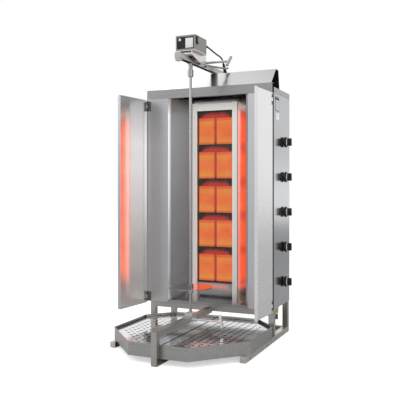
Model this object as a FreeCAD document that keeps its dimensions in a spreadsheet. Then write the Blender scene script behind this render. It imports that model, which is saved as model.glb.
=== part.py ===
import FreeCAD, Part
import math
import os
import Sketcher

# Upright gas grill for a turning meat spit. Millimetres, +Z up, the spit axis at X = Y = 0 on the floor,
# +Y towards the burners and +X towards the control knobs.

document = FreeCAD.newDocument("SpitGrill")
sheet = document.addObject("Spreadsheet::Sheet", "Sizes")
# How far a cutting shape runs past what it cuts.
OVER = 1

SIZES = {
    # Clearances and general gauges
    "slide_gap": 0.3, "turn_gap": 0.05, "seam_gap": 0.4, "slip_gap": 0.1, "gauge": 1.2, "edge": 1,
    # Floor frame of square tube
    "tube": 25, "tube_wall": 1.5, "frame_half": 311, "rail_reach": 157, "leg_front": 212,
    "crossbar_depth": 29, "crossbar_drop": 2, "post_reach": 340, "beam_top": 134,
    # Drip pan and its two perforated grates
    "pan_post_gap": 2, "pan_nose_half": 131, "pan_overhang": 6, "pan_shoulder": 114, "pan_leg_lead": 36,
    "pan_tail_inset": 99, "pan_rear": 294, "pan_depth": 55, "pan_rim": 5,
    "grate_height": 42, "grate_margin": 9, "grate_gap": 7, "grate_hole": 12, "grate_pitch": 90,
    # Cabinet
    "cabinet_overhang": 3, "cabinet_front": 180.6, "cabinet_depth": 276, "cabinet_bottom": 147,
    "cabinet_top": 1140, "header_bottom": 1114, "header_top": 1156.4, "stile_face": 21, "stile_depth": 24,
    "stile_step": 3, "rear_flange": 20, "floor_lip": 12,
    # Hood
    "hood_inset": 4.7, "hood_top": 1228, "hood_slope": 71, "hood_flat": 38, "hood_fall": 17,
    "hood_flange": 14,
    # Burner chamber
    "strip_outer": 201, "strip_width": 11, "strip_fall": 7, "upright_inner": 90, "upright_width": 25,
    "upright_front": 270, "upright_depth": 15, "upright_top": 1094, "band_bottom": 1057, "band_top": 1090,
    "reflector_gap": 4, "plate_half": 117, "plate_gauge": 1.5,
    # Five burners, each with two ceramic tiles
    "burner_count": 5, "burner_pitch": 162.9, "burner_centre": 960.1, "tile_width": 79, "tile_height": 125,
    "tile_depth": 13, "tile_seam": 12, "tile_proud": 1.5, "tile_gap": 0.3, "housing_half": 90,
    "housing_height": 133, "housing_depth": 46, "housing_wall": 2.5, "plenum_step": 6, "mixer_radius": 15,
    "mixer_length": 27, "mixer_bore": 10,
    # Gas train
    "tap_axis": 365, "tap_drop": 57, "tap_height": 24, "tap_depth": 24, "bonnet_radius": 9,
    "bonnet_length": 8, "manifold_radius": 8, "manifold_inset": 38, "feed_radius": 3,
    "feed_rear": 410, "injector_radius": 6, "injector_length": 18, "inlet_nut_top": 128.5,
    "inlet_nut_length": 23.5, "inlet_nut_radius": 11, "inlet_thread": 8.33, "inlet_end": 72,
    "inlet_hex": 11, "inlet_shoulder": 100,
    # Control knobs
    "spindle_radius": 3, "spindle_length": 44, "push_travel": 3.5, "panel_hole": 5, "knob_gap": 0.8,
    "skirt_radius": 24, "skirt_depth": 8, "grip_radius": 14.5, "grip_length": 24, "grip_nose": 2,
    "knob_web": 8, "grip_half": 7,
    # Rear hook
    "hook_width": 15, "hook_inset": 24, "hook_gauge": 3, "hook_top": 1112, "hook_drop": 45,
    "hook_reach": 22, "hook_tip": 16, "hook_lean": 4,
    # Upper arm, its post and its locking lever
    "arm_width": 26, "arm_height": 23, "arm_wall": 3, "arm_lift": 5, "arm_reach": 131, "arm_rear": 384,
    "arm_slot": 6.5, "slot_forward": 20, "slot_backward": 40, "post_plate": 60, "post_plate_gauge": 4,
    "stop_length": 24, "stop_drop": 11,
    "lug_length": 20, "lug_gauge": 4, "lug_reach": 14, "lever_pivot": 134, "lever_pin": 3, "pin_head": 4.6,
    "pin_head_height": 2.4,
    "lever_hub": 6, "lever_hub_height": 15, "lever_length": 118, "lever_tail": 14, "lever_radius": 4.5,
    "lever_angle": 25.2, "lever_rise": 18,
    # Motor carriage
    "box_half": 47, "box_reach": 54, "box_rear": 69, "box_height": 64.7, "box_wall": 1.2, "box_corner": 4,
    "window_margin": 7, "carriage_lift": 20, "carriage_gauge": 3, "cheek_half": 31, "cheek_gauge": 3,
    "cheek_rear": 100, "cheek_foot_rear": 85, "cheek_foot_front": 50, "cheek_drop": 2,
    "cheek_nose": 16, "cheek_nose_step": 2, "cheek_tail": 14, "glide_front": 38,
    "glide_rear": 60, "plate_inset": 3.4, "gearbox_half": 30, "gearbox_height": 34, "motor_radius": 20, "motor_length": 34,
    "shaft_hole": 9,
    # Clamp screws with T handles
    "screw_radius": 5, "boss_radius": 8, "boss_length": 10, "handle_radius": 7, "handle_round": 4, "handle_taper": 2.4,
    "upper_screw_at": 78, "upper_screw_end": 149, "upper_handle": 72, "upper_handle_tilt": -48,
    "lower_screw_end": 143, "lower_handle": 65, "lower_handle_tilt": 23, "screw_drop": 14.5,
    # Rocker switch
    "switch_at": 37, "switch_length": 21, "switch_height": 34, "switch_proud": 2, "switch_top_gap": 5,
    "switch_wall": 2, "rocker_rise": 3, "rocker_tilt": 8, "rocker_play": 2, "rocker_pivot": 1.5,
    "switch_tail": 8, "switch_hollow": 6,
    # Spit, disc and drive
    "spit_radius": 6.5, "spit_top": 1215, "sleeve_radius": 9, "sleeve_bottom": 1173, "sleeve_top": 1251,
    "collar_radius": 12.5, "collar_height": 31, "shaft_radius": 6, "shaft_rise": 12, "disc_radius": 97.5,
    "disc_height": 258, "disc_gauge": 3, "hub_radius": 13, "hub_height": 26, "clip_width": 12,
    "clip_gauge": 3, "clip_reach": 24, "clip_drop": 30,
    # Lower carriage
    "saddle_length": 44, "saddle_cheek": 4.2, "saddle_height": 15, "saddle_drop": 22, "pivot_depth": 9,
    # Wings and their hinges
    "wing_length": 206, "wing_bottom": 138, "wing_top": 1111, "wing_gauge": 1.5, "wing_flange": 15,
    "wing_corner": 8, "wing_gap": 1.5, "wing_lead": 3.6, "hinge_front": 176, "barrel_radius": 4,
    "pin_radius": 2.2, "hinge_height": 45, "hinge_inset": 8, "leaf_gauge": 2, "leaf_width": 16,
    "right_wing_angle": 3, "left_wing_angle": 6.3, "knuckle_gap": 0.4,
    # Cable, plug and socket
    "cable_radius": 3.5, "gland_radius": 6, "gland_length": 12, "gland_inset": 10, "gland_rise": 41,
    "socket_side": 50, "socket_at": 288, "socket_flange": 13, "socket_radius": 9.5, "socket_height": 11,
    "plug_radius": 7.5, "plug_length": 40, "plug_taper": 15, "plug_tilt": 20, "plug_turn": 15,
    "lead_straight": 36, "lead_reach": 110, "lead_sag": 14, "lead_side": 3, "lead_crown": 27,
}

for row, (alias, number) in enumerate(SIZES.items(), start=1):
    sheet.set(f"A{row}", alias)
    sheet.set(f"B{row}", str(number))
    sheet.setAlias(f"B{row}", alias)
document.recompute()


def text_of(value):
    return value.text if isinstance(value, Size) else repr(value)


class Size(float):
    """A length that also knows the sheet formula it comes from."""

    def __new__(cls, value, text):
        size = float.__new__(cls, value)
        size.text = text
        return size

    def __add__(self, other):
        return Size(float(self) + float(other), f"({self.text} + {text_of(other)})")

    def __radd__(self, other):
        return Size(float(other) + float(self), f"({text_of(other)} + {self.text})")

    def __sub__(self, other):
        return Size(float(self) - float(other), f"({self.text} - {text_of(other)})")

    def __rsub__(self, other):
        return Size(float(other) - float(self), f"({text_of(other)} - {self.text})")

    def __mul__(self, other):
        return Size(float(self) * float(other), f"({self.text} * {text_of(other)})")

    def __rmul__(self, other):
        return Size(float(other) * float(self), f"({text_of(other)} * {self.text})")

    def __truediv__(self, other):
        return Size(float(self) / float(other), f"({self.text} / {text_of(other)})")

    def __neg__(self):
        return Size(-float(self), f"(-1 * {self.text})")


def root(size):
    return Size(math.sqrt(size), f"sqrt({text_of(size)})")


class Named:
    """Every size of the sheet by its alias."""


s = Named()
for alias in SIZES:
    setattr(s, alias, Size(float(sheet.get(alias)), f"Sizes.{alias}"))

# Lines that several pieces share
CABINET_HALF = s.frame_half + s.cabinet_overhang
CABINET_REAR = s.cabinet_front + s.cabinet_depth
RAIL_INNER = s.frame_half - s.tube
MANIFOLD_SIDE = CABINET_HALF - s.manifold_inset
POST_REAR = -(s.post_reach - s.tube)
PANEL_INNER = CABINET_HALF - s.gauge
PLATE_FRONT = s.upright_front + s.upright_depth
HOUSING_FRONT = PLATE_FRONT + s.plate_gauge
ARM_BOTTOM = s.hood_top + s.arm_lift
ARM_TOP = ARM_BOTTOM + s.arm_height
ARM_HALF = s.arm_width / 2
BOX_BOTTOM = ARM_TOP + s.carriage_lift + s.carriage_gauge
BOX_TOP = BOX_BOTTOM + s.box_height
GLAND = (s.box_half - s.gland_inset, BOX_BOTTOM + s.gland_rise)
CHEEK_INNER = s.cheek_half - s.cheek_gauge
SCREW_HEIGHT = ARM_BOTTOM + s.arm_height / 2
SADDLE_TOP = s.beam_top + s.saddle_height
SADDLE_HALF = s.tube / 2 + s.slide_gap + s.saddle_cheek
LOWER_SCREW_HEIGHT = s.beam_top - s.screw_drop
BURNER_HEIGHTS = [s.burner_centre - step * s.burner_pitch for step in range(round(s.burner_count))]
TAP_HEIGHTS = [height - s.tap_drop for height in BURNER_HEIGHTS]
KNOB_FACE = CABINET_HALF + s.push_travel + s.knob_gap
SPINDLE_START = KNOB_FACE + s.skirt_depth + s.grip_length - s.knob_web - s.spindle_length
STILE_OUTER = CABINET_HALF - s.stile_step

AXES = {"x": 0, "y": 1, "z": 2}
subparts = []


def bind(item, field, size):
    """Ties one property to the sheet."""
    if isinstance(size, Size):
        item.setExpression(field, size.text)
    else:
        setattr(item, field, size) if "." not in field else item.setExpression(field, repr(size))


def place(item, x, y, z):
    for axis, size in zip("xyz", (x, y, z)):
        item.setExpression(f"Placement.Base.{axis}", text_of(size))
    return item


def keep(item, label):
    """Marks an object as a finished sub-part."""
    item.Label = label
    subparts.append(item)
    return item


def box(name, x, y, z):
    """A block between the (low, high) pairs x, y and z."""
    block = document.addObject("Part::Box", name)
    for field, (low, high) in zip(("Length", "Width", "Height"), (x, y, z)):
        bind(block, field, high - low)
    return place(block, x[0], y[0], z[0])


def rod(name, axis, radius, centre, span, top_radius=None):
    """A round bar along an axis. Centre gives the other two coordinates, in X, Y, Z order."""
    turns = {
        "x": FreeCAD.Rotation(FreeCAD.Vector(0, 1, 0), 90),
        "y": FreeCAD.Rotation(FreeCAD.Vector(1, 0, 0), -90),
        "z": FreeCAD.Rotation(),
    }
    bar = document.addObject("Part::Cylinder" if top_radius is None else "Part::Cone", name)
    if top_radius is None:
        bind(bar, "Radius", radius)
    else:
        bind(bar, "Radius1", radius)
        bind(bar, "Radius2", top_radius)
    bind(bar, "Height", span[1] - span[0])
    bar.Placement = FreeCAD.Placement(FreeCAD.Vector(), turns[axis])
    base = list(centre)
    base.insert(AXES[axis], span[0])
    return place(bar, *base)


def join(name, *pieces):
    """Pieces welded or cast into one solid."""
    whole = document.addObject("Part::MultiFuse", name)
    whole.Shapes = list(pieces)
    whole.Refine = True
    return whole


def group(name, *pieces):
    """Like pieces that stay separate solids."""
    several = document.addObject("Part::Compound", name)
    several.Links = list(pieces)
    return several


def cut(name, base, *tools):
    result = document.addObject("Part::Cut", name)
    result.Base = base
    result.Tool = tools[0] if len(tools) == 1 else group(f"{name}_tools", *tools)
    return result


def square_tube(name, axis, x, y, z, shut=(False, False)):
    """A tube along an axis, each end open or shut by a welded plate."""
    outer = box(f"{name}_outer", x, y, z)
    inner_spans = []
    for letter, (low, high) in zip("xyz", (x, y, z)):
        shut_here = shut if letter == axis else (True, True)
        inner_spans.append((low + s.tube_wall if shut_here[0] else low - OVER,
                            high - s.tube_wall if shut_here[1] else high + OVER))
    return cut(name, outer, box(f"{name}_inner", *inner_spans))


def origin_plane(body, role):
    return next(feature for feature in body.Origin.OriginFeatures if feature.Role == role)


def add_outline(body, role, points, name):
    """A closed sketch whose corners are each dimensioned from the origin."""
    sketch = body.newObject("Sketcher::SketchObject", name)
    sketch.AttachmentSupport = (origin_plane(body, role), [""])
    sketch.MapMode = "FlatFace"
    count = len(points)
    corners = [FreeCAD.Vector(float(x), float(y), 0) for x, y in points]
    for index in range(count):
        sketch.addGeometry(Part.LineSegment(corners[index], corners[(index + 1) % count]), False)
    for index in range(count):
        sketch.addConstraint(Sketcher.Constraint("Coincident", index, 2, (index + 1) % count, 1))
    for index, (x, y) in enumerate(points):
        for kind, size in (("DistanceX", x), ("DistanceY", y)):
            number = sketch.addConstraint(Sketcher.Constraint(kind, -1, 1, index, 1, float(size)))
            if isinstance(size, Size):
                sketch.setExpression(f"Constraints[{number}]", size.text)
    return sketch


ROLES = {"x": "YZ_Plane", "y": "XZ_Plane", "z": "XY_Plane"}


def prism(name, axis, points, span):
    """An outline padded along an axis. Its points are in the other two axes, in X, Y, Z order."""
    body = document.addObject("PartDesign::Body", name)
    sketch = add_outline(body, ROLES[axis], points, f"{name}_outline")
    pad = body.newObject("PartDesign::Pad", f"{name}_pad")
    pad.Profile = sketch
    bind(pad, "Length", span[1] - span[0])
    pad.Reversed = axis == "y"
    base = [0, 0, 0]
    base[AXES[axis]] = span[0]
    return place(body, *base)


def revolved(name, axis, points):
    """An outline of (along, radius) points turned about an axis."""
    body = document.addObject("PartDesign::Body", name)
    if axis == "x":
        sketch = add_outline(body, "XZ_Plane", points, f"{name}_outline")
    else:
        sketch = add_outline(body, "XZ_Plane", [(radius, along) for along, radius in points], f"{name}_outline")
    turn = body.newObject("PartDesign::Revolution", f"{name}_turn")
    turn.Profile = sketch
    turn.ReferenceAxis = (sketch, ["H_Axis" if axis == "x" else "V_Axis"])
    turn.Angle = 360
    return body


def strip(points, gauge):
    """The outline of a folded sheet: its path, and the same path one gauge to the left."""
    normals = []
    for (x0, y0), (x1, y1) in zip(points, points[1:]):
        dx, dy = x1 - x0, y1 - y0
        length = root(dx * dx + dy * dy)
        normals.append((-dy / length, dx / length))
    pairs = [(normals[0], normals[0])] + list(zip(normals, normals[1:])) + [(normals[-1], normals[-1])]
    offset = []
    for (x, y), ((ax, ay), (bx, by)) in zip(points, pairs):
        share = gauge / (1 + ax * bx + ay * by)
        offset.append((x + share * (ax + bx), y + share * (ay + by)))
    return points + offset[::-1]


def span(sign, near, far):
    """A (low, high) pair on the side of the middle that sign gives."""
    return (near, far) if sign > 0 else (-far, -near)


def mirrored(points, sign):
    return [(sign * x, y) for x, y in points]


def tilted(item, axis, angle, x, y, z):
    """Turns an object about an axis through its own origin, then places it."""
    item.Placement = FreeCAD.Placement(FreeCAD.Vector(), FreeCAD.Rotation(FreeCAD.Vector(*axis), float(angle)))
    item.setExpression("Placement.Rotation.Angle", text_of(angle))
    return place(item, x, y, z)


def vector(x, y, z):
    return FreeCAD.Vector(float(x), float(y), float(z))


SIDES = (("left", -1), ("right", 1))


# Floor frame


def floor_rails():
    depth = (-s.rail_reach, CABINET_REAR)
    height = (0, s.tube)
    pieces = [square_tube(f"side_rail_{side}", "y", span(sign, RAIL_INNER, s.frame_half), depth, height,
                          (True, False)) for side, sign in SIDES]
    tie_front = CABINET_REAR - s.tube
    pieces.append(square_tube("rear_tie", "x", (-RAIL_INNER, RAIL_INNER), (tie_front, CABINET_REAR), height))
    pieces.append(square_tube("centre_rail", "y", (-s.tube / 2, s.tube / 2), (POST_REAR, tie_front), height))
    keep(group("FloorRails", *pieces), "floor_rails")


def legs():
    pieces = []
    for side, sign in SIDES:
        for end, front in (("front", s.leg_front), ("rear", CABINET_REAR - s.tube)):
            pieces.append(square_tube(f"leg_{end}_{side}", "z", span(sign, RAIL_INNER, s.frame_half),
                                      (front, front + s.tube), (s.tube, s.cabinet_bottom)))
    keep(group("Legs", *pieces), "legs")


def front_crossbar():
    top = s.cabinet_bottom - s.crossbar_drop
    keep(square_tube("FrontCrossbar", "x", (-RAIL_INNER, RAIL_INNER), (s.leg_front, s.leg_front + s.tube),
                     (top - s.crossbar_depth, top)), "front_crossbar")


def front_post():
    keep(square_tube("FrontPost", "z", (-s.tube / 2, s.tube / 2), (-s.post_reach, POST_REAR),
                     (0, s.beam_top), (False, True)), "front_post")


def spit_beam():
    keep(square_tube("SpitBeam", "y", (-s.tube / 2, s.tube / 2), (POST_REAR, s.leg_front),
                     (s.beam_top - s.tube, s.beam_top)), "spit_beam")


# Drip pan and grates


# Share of a margin by which a corner of 45 degrees moves along its side.
CORNER_SHARE = 0.41


def pan_outline(margin):
    """The pan's eight corners, drawn in by a margin."""
    slant = margin * CORNER_SHARE
    nose = s.pan_nose_half - slant
    side = s.frame_half + s.pan_overhang - margin
    tail = s.frame_half - s.pan_tail_inset - slant
    front = POST_REAR + s.pan_post_gap + margin
    rear = s.pan_rear - margin
    shoulder = -s.pan_shoulder + slant
    hip = s.leg_front - s.pan_leg_lead - slant
    half = [(nose, front), (side, shoulder), (side, hip), (tail, rear)]
    return half


def drip_pan():
    bottom = s.tube
    top = s.tube + s.pan_depth

    def octagon(name, margin, height):
        half = pan_outline(margin)
        return prism(name, "z", half + [(-x, y) for x, y in half[::-1]], height)

    outer = octagon("pan_outer", 0, (bottom, top))
    waist = octagon("pan_waist", -s.edge, (bottom - OVER, top - s.pan_rim))
    core = octagon("pan_core", s.gauge, (bottom - 2 * OVER, top))
    hollow = octagon("pan_hollow", 2 * s.gauge, (bottom + s.gauge, top + OVER))
    keep(cut("DripPan", outer, cut("pan_outside", waist, core), hollow), "drip_pan")


def grates():
    bottom = s.tube + s.gauge
    top = bottom + s.grate_height
    for side, sign in SIDES:
        half = pan_outline(s.grate_margin)
        inner = s.grate_gap / 2
        outline = mirrored([(inner, half[0][1])] + half + [(inner, half[-1][1])], sign)
        half_in = pan_outline(s.grate_margin + s.gauge)
        inside = mirrored([(inner + s.gauge, half_in[0][1])] + half_in
                          + [(inner + s.gauge, half_in[-1][1])], sign)
        shell = cut(f"grate_shell_{side}", prism(f"grate_skin_{side}", "z", outline, (bottom, top)),
                    prism(f"grate_inside_{side}", "z", inside, (bottom - OVER, top - s.gauge)))
        holes = []
        # Neighbouring lines of holes are half a pitch apart, and staggered by half a pitch.
        step = s.grate_pitch / 2
        columns = round(float((s.frame_half - s.grate_margin) / s.grate_pitch))
        rows = round(float((s.pan_rear - half[0][1]) / step))
        edge = s.grate_hole
        for column in range(columns):
            for line in range(rows):
                x = inner + s.grate_pitch * column + step * (line % 2) + step / 2
                y = half[0][1] + step * line + step / 2
                if inside_half(x + edge, y, edge, half_in):
                    holes.append(hexagon(f"grate_hole_{side}", s.grate_hole / 2, (sign * x, y),
                                         (top - s.gauge - OVER, top + OVER)))
        keep(cut(f"Grate_{side}", shell, *holes), f"grate_{side}")


def inside_half(x, y, edge, half):
    """Whether a hole that reaches x lies inside the right half of the grate."""
    (nose, front), (side, shoulder), (_, hip), (tail, rear) = half
    if y - edge < front or y + edge > rear:
        return False
    if y < shoulder:
        limit = nose + (side - nose) * (y - edge - front) / (shoulder - front)
    elif y > hip:
        limit = tail + (side - tail) * (rear - y - edge) / (rear - hip)
    else:
        limit = side
    return float(x) < float(limit)


# Cabinet


def side_panels():
    rear = CABINET_REAR
    for side, sign in SIDES:
        path = [
            (CABINET_HALF - s.rear_flange, rear),
            (CABINET_HALF, rear),
            (CABINET_HALF, s.cabinet_front + s.stile_depth),
            (STILE_OUTER, s.cabinet_front + s.stile_depth),
            (STILE_OUTER, s.cabinet_front),
            (CABINET_HALF - s.stile_face, s.cabinet_front),
        ]
        body = prism(f"side_sheet_{side}", "z", mirrored(strip(path[::-1], s.gauge), sign),
                     (s.cabinet_bottom, s.header_bottom - s.seam_gap))
        if sign < 0:
            keep(body, "side_panel_left")
            continue
        holes = [rod("knob_hole", "x", s.panel_hole, (s.tap_axis, height),
                     (PANEL_INNER - OVER, CABINET_HALF + OVER)) for height in TAP_HEIGHTS]
        keep(cut("SidePanelRight", body, *holes), "side_panel_right")


def back_panel():
    rear = CABINET_REAR - s.gauge
    keep(box("BackPanel", (-PANEL_INNER + s.seam_gap, PANEL_INNER - s.seam_gap), (rear - s.gauge, rear),
             (s.cabinet_bottom + s.gauge, s.header_bottom - s.seam_gap)), "back_panel")


def cabinet_floor():
    half = STILE_OUTER - s.gauge - s.seam_gap
    front = s.cabinet_front + s.gauge
    rear = CABINET_REAR - s.gauge
    plate = box("floor_plate", (-half, half), (front, rear), (s.cabinet_bottom, s.cabinet_bottom + s.gauge))
    lip = box("floor_lip", (-s.strip_outer, s.strip_outer), (front, front + s.gauge),
              (s.cabinet_bottom, s.cabinet_bottom + s.floor_lip))
    hole = rod("gas_hole", "z", s.manifold_radius + s.edge, (MANIFOLD_SIDE, s.tap_axis),
               (s.cabinet_bottom - OVER, s.cabinet_bottom + s.gauge + OVER))
    keep(cut("CabinetFloor", join("floor_folded", plate, lip), hole), "cabinet_floor")


def top_cover():
    front = s.cabinet_front + s.stile_depth + s.seam_gap
    outer = box("cover_outer", (-CABINET_HALF, CABINET_HALF), (front, CABINET_REAR),
                (s.header_bottom, s.cabinet_top))
    inner = box("cover_inner", (-PANEL_INNER, PANEL_INNER), (front - OVER, CABINET_REAR - s.gauge),
                (s.header_bottom - OVER, s.cabinet_top - s.gauge))
    keep(cut("TopCover", outer, inner), "top_cover")


def lintel():
    rear = s.cabinet_front + s.stile_depth
    path = [(rear, s.header_bottom), (s.cabinet_front, s.header_bottom),
            (s.cabinet_front, s.header_top), (rear, s.header_top)]
    keep(prism("Lintel", "x", strip(path[::-1], s.gauge), (-CABINET_HALF, CABINET_HALF)), "lintel")


def hood():
    front = s.cabinet_front + s.seam_gap
    crest = s.cabinet_front + s.hood_slope
    back = crest + s.hood_flat
    foot = back + s.hood_fall
    seat = s.cabinet_top + s.gauge
    path = [(front + s.hood_flange, s.header_top), (front, s.header_top), (crest, s.hood_top),
            (back, s.hood_top), (foot, seat), (foot + s.hood_flange, seat)]
    keep(prism("Hood", "x", strip(path[::-1], s.gauge), (s.hood_inset - CABINET_HALF, CABINET_HALF - s.hood_inset)), "hood")


# Burner chamber


def reflectors():
    outer = CABINET_HALF - s.stile_face - s.seam_gap - s.gauge
    inner = s.upright_inner + s.upright_width + s.reflector_gap
    front = s.cabinet_front
    bottom = s.cabinet_bottom + s.gauge
    for side, sign in SIDES:
        path = [(outer, front + s.stile_depth), (outer, front), (s.strip_outer, front),
                (s.strip_outer - s.strip_width, front + s.strip_fall), (inner, s.upright_front - s.edge),
                (inner, PLATE_FRONT)]
        outline = mirrored(strip(path, s.gauge), sign)
        # The foot stands behind the lip of the cabinet floor.
        body = prism(f"reflector_sheet_{side}", "z", outline,
                     (bottom, s.header_bottom - s.seam_gap))
        notch = box(f"lip_notch_{side}", span(sign, s.strip_outer - s.strip_width - OVER, s.strip_outer + OVER),
                    (front - OVER, front + 2 * s.gauge + s.seam_gap),
                    (bottom - OVER, s.cabinet_bottom + s.floor_lip + s.seam_gap))
        keep(cut(f"Reflector_{side}", body, notch), f"reflector_{side}")


def burner_uprights():
    bottom = s.cabinet_bottom + s.gauge
    outer = s.upright_inner + s.upright_width
    pieces = []
    for side, sign in SIDES:
        path = [(s.upright_inner, PLATE_FRONT), (s.upright_inner, s.upright_front),
                (outer, s.upright_front), (outer, PLATE_FRONT)]
        pieces.append(prism(f"upright_{side}", "z", mirrored(strip(path, s.plate_gauge), sign),
                            (bottom, s.upright_top)))
    band = [(s.upright_front + s.edge, s.band_bottom), (s.upright_front, s.band_bottom),
            (s.upright_front, s.band_top), (PLATE_FRONT, s.band_top)]
    pieces.append(prism("cross_band", "x", strip(band[::-1], s.plate_gauge),
                        (-s.upright_inner, s.upright_inner)))
    keep(group("BurnerUprights", *pieces), "burner_uprights")


def burner_plate():
    bottom = s.cabinet_bottom + s.gauge
    plate = box("plate_blank", (-s.plate_half, s.plate_half), (PLATE_FRONT, HOUSING_FRONT),
                (bottom, s.header_bottom - s.seam_gap))
    windows = []
    for height in BURNER_HEIGHTS:
        for side, sign in SIDES:
            near = s.tile_seam / 2 - s.tile_gap
            far = s.tile_seam / 2 + s.tile_width + s.tile_gap
            half = s.tile_height / 2 + s.tile_gap
            windows.append(box(f"window_{side}", span(sign, near, far),
                               (PLATE_FRONT - OVER, HOUSING_FRONT + OVER), (height - half, height + half)))
    keep(cut("BurnerPlate", plate, *windows), "burner_plate")


def burner_housings():
    pieces = []
    front = HOUSING_FRONT
    rear = front + s.housing_depth
    seat = PLATE_FRONT - s.tile_proud + s.tile_depth
    for height in BURNER_HEIGHTS:
        half = s.housing_height / 2
        block = box("housing_block", (-s.housing_half, s.housing_half), (front, rear),
                    (height - half, height + half))
        mixer = rod("mixer", "y", s.mixer_radius, (0, height), (rear - OVER, rear + s.mixer_length))
        tools = []
        for side, sign in SIDES:
            near = s.tile_seam / 2 - s.tile_gap
            far = s.tile_seam / 2 + s.tile_width + s.tile_gap
            tall = s.tile_height / 2 + s.tile_gap
            tools.append(box(f"tile_seat_{side}", span(sign, near, far), (front - OVER, seat),
                             (height - tall, height + tall)))
        reach = s.tile_seam / 2 + s.tile_width - s.plenum_step
        tools.append(box("plenum", (-reach, reach), (seat, rear - s.housing_wall),
                         (height - s.tile_height / 2 + s.plenum_step, height + s.tile_height / 2 - s.plenum_step)))
        tools.append(rod("mixer_bore", "y", s.mixer_bore, (0, height),
                         (rear - s.housing_wall - OVER, rear + s.mixer_length + OVER)))
        body = join("housing_cast", block, mixer)
        for index, tool in enumerate(tools):
            body = cut(f"housing_cut_{index}", body, tool)
        pieces.append(body)
    keep(group("BurnerHousings", *pieces), "burner_housings")


def burner_tiles():
    front = PLATE_FRONT - s.tile_proud
    pieces = []
    for height in BURNER_HEIGHTS:
        for side, sign in SIDES:
            near = s.tile_seam / 2
            pieces.append(box(f"tile_{side}", span(sign, near, near + s.tile_width), (front, front + s.tile_depth),
                              (height - s.tile_height / 2, height + s.tile_height / 2)))
    keep(group("BurnerTiles", *pieces), "burner_tiles")


# Gas train


def bent_path(points, radii):
    """Straight runs joined by tangent arcs."""
    edges = []
    here = points[0]
    for before, corner, after, radius in zip(points, points[1:], points[2:], radii):
        into = (corner - before).normalize()
        away = (after - corner).normalize()
        half_turn = into.getAngle(away) / 2
        reach = radius * math.tan(half_turn)
        start = corner - into * reach
        end = corner + away * reach
        inward = (away - into).normalize()
        middle = corner + inward * (radius / math.cos(half_turn) - radius)
        edges.append(Part.LineSegment(here, start).toShape())
        edges.append(Part.Arc(start, middle, end).toShape())
        here = end
    edges.append(Part.LineSegment(here, points[-1]).toShape())
    return Part.Wire(edges)


SMOOTH = 0
MITRED = 1


def swept(path, radius, corners):
    start = path.Vertexes[0].Point
    direction = path.Edges[0].tangentAt(path.Edges[0].FirstParameter)
    ring = Part.Wire([Part.makeCircle(radius, start, direction)])
    return path.makePipeShell([ring], True, False, corners)


def burner_feeds():
    """Five injectors and the bent pipes that bring them gas."""
    solids = []
    housing_rear = HOUSING_FRONT + s.housing_depth + s.mixer_length
    outlet = MANIFOLD_SIDE + s.manifold_radius + s.tap_depth / 2
    tap_rear = s.tap_axis + s.tap_depth / 2
    for burner, tap in zip(BURNER_HEIGHTS, TAP_HEIGHTS):
        injector_start = vector(0, housing_rear - s.injector_length / 2, burner)
        injector = Part.makeCylinder(float(s.injector_radius), float(s.injector_length), injector_start,
                                     FreeCAD.Vector(0, 1, 0))
        path = Part.makePolygon(
            [vector(outlet, tap_rear, tap), vector(outlet, s.feed_rear, tap), vector(0, s.feed_rear, burner),
             vector(0, housing_rear + s.injector_length / 2, burner)])
        solids += [injector, swept(path, float(s.feed_radius), MITRED)]
    feeds = document.addObject("Part::Feature", "BurnerFeeds")
    feeds.Shape = Part.makeCompound(solids)
    keep(feeds, "burner_feeds")


def gas_taps():
    start = MANIFOLD_SIDE + s.manifold_radius
    body_end = PANEL_INNER - s.bonnet_length
    pieces = []
    for height in TAP_HEIGHTS:
        block = box("tap_block", (start, body_end), (s.tap_axis - s.tap_depth / 2, s.tap_axis + s.tap_depth / 2),
                    (height - s.tap_height / 2, height + s.tap_height / 2))
        bonnet = rod("tap_bonnet", "x", s.bonnet_radius, (s.tap_axis, height), (body_end - OVER, PANEL_INNER))
        bore = rod("tap_bore", "x", s.spindle_radius + s.turn_gap, (s.tap_axis, height),
                   (SPINDLE_START - s.push_travel - OVER, PANEL_INNER + OVER))
        pieces.append(cut("tap", join("tap_cast", block, bonnet), bore))
    keep(group("GasTaps", *pieces), "gas_taps")


def gas_manifold():
    keep(rod("GasManifold", "z", s.manifold_radius, (MANIFOLD_SIDE, s.tap_axis),
             (s.inlet_nut_top - s.inlet_nut_length / 2, TAP_HEIGHTS[0] + 2 * s.tap_height)), "gas_manifold")


def hexagon(name, radius, centre, height):
    prismatic = document.addObject("Part::Prism", name)
    prismatic.Polygon = 6
    bind(prismatic, "Circumradius", radius)
    bind(prismatic, "Height", height[1] - height[0])
    return place(prismatic, centre[0], centre[1], height[0])


def gas_inlet():
    centre = (MANIFOLD_SIDE, s.tap_axis)
    nut_bottom = s.inlet_nut_top - s.inlet_nut_length
    middle = s.inlet_nut_top - s.inlet_nut_length / 2
    nut = cut("inlet_nut", hexagon("nut_blank", s.inlet_nut_radius, centre, (nut_bottom, s.inlet_nut_top)),
              rod("nut_bore", "z", s.manifold_radius, centre, (nut_bottom - OVER, s.inlet_nut_top + OVER)))
    thread = rod("inlet_thread", "z", s.inlet_thread, centre, (s.inlet_end, s.inlet_shoulder))
    hexed = hexagon("inlet_hexagon", s.inlet_hex, centre, (s.inlet_shoulder, nut_bottom))
    neck = rod("inlet_neck", "z", s.manifold_radius - s.turn_gap, centre, (nut_bottom - OVER, middle))
    bore = rod("inlet_bore", "z", s.mixer_bore / 2, centre, (s.inlet_end - OVER, middle + OVER))
    fitting = cut("inlet_fitting", join("inlet_turned", thread, hexed, neck), bore)
    keep(group("GasInlet", nut, fitting), "gas_inlet")


# Knobs


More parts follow.
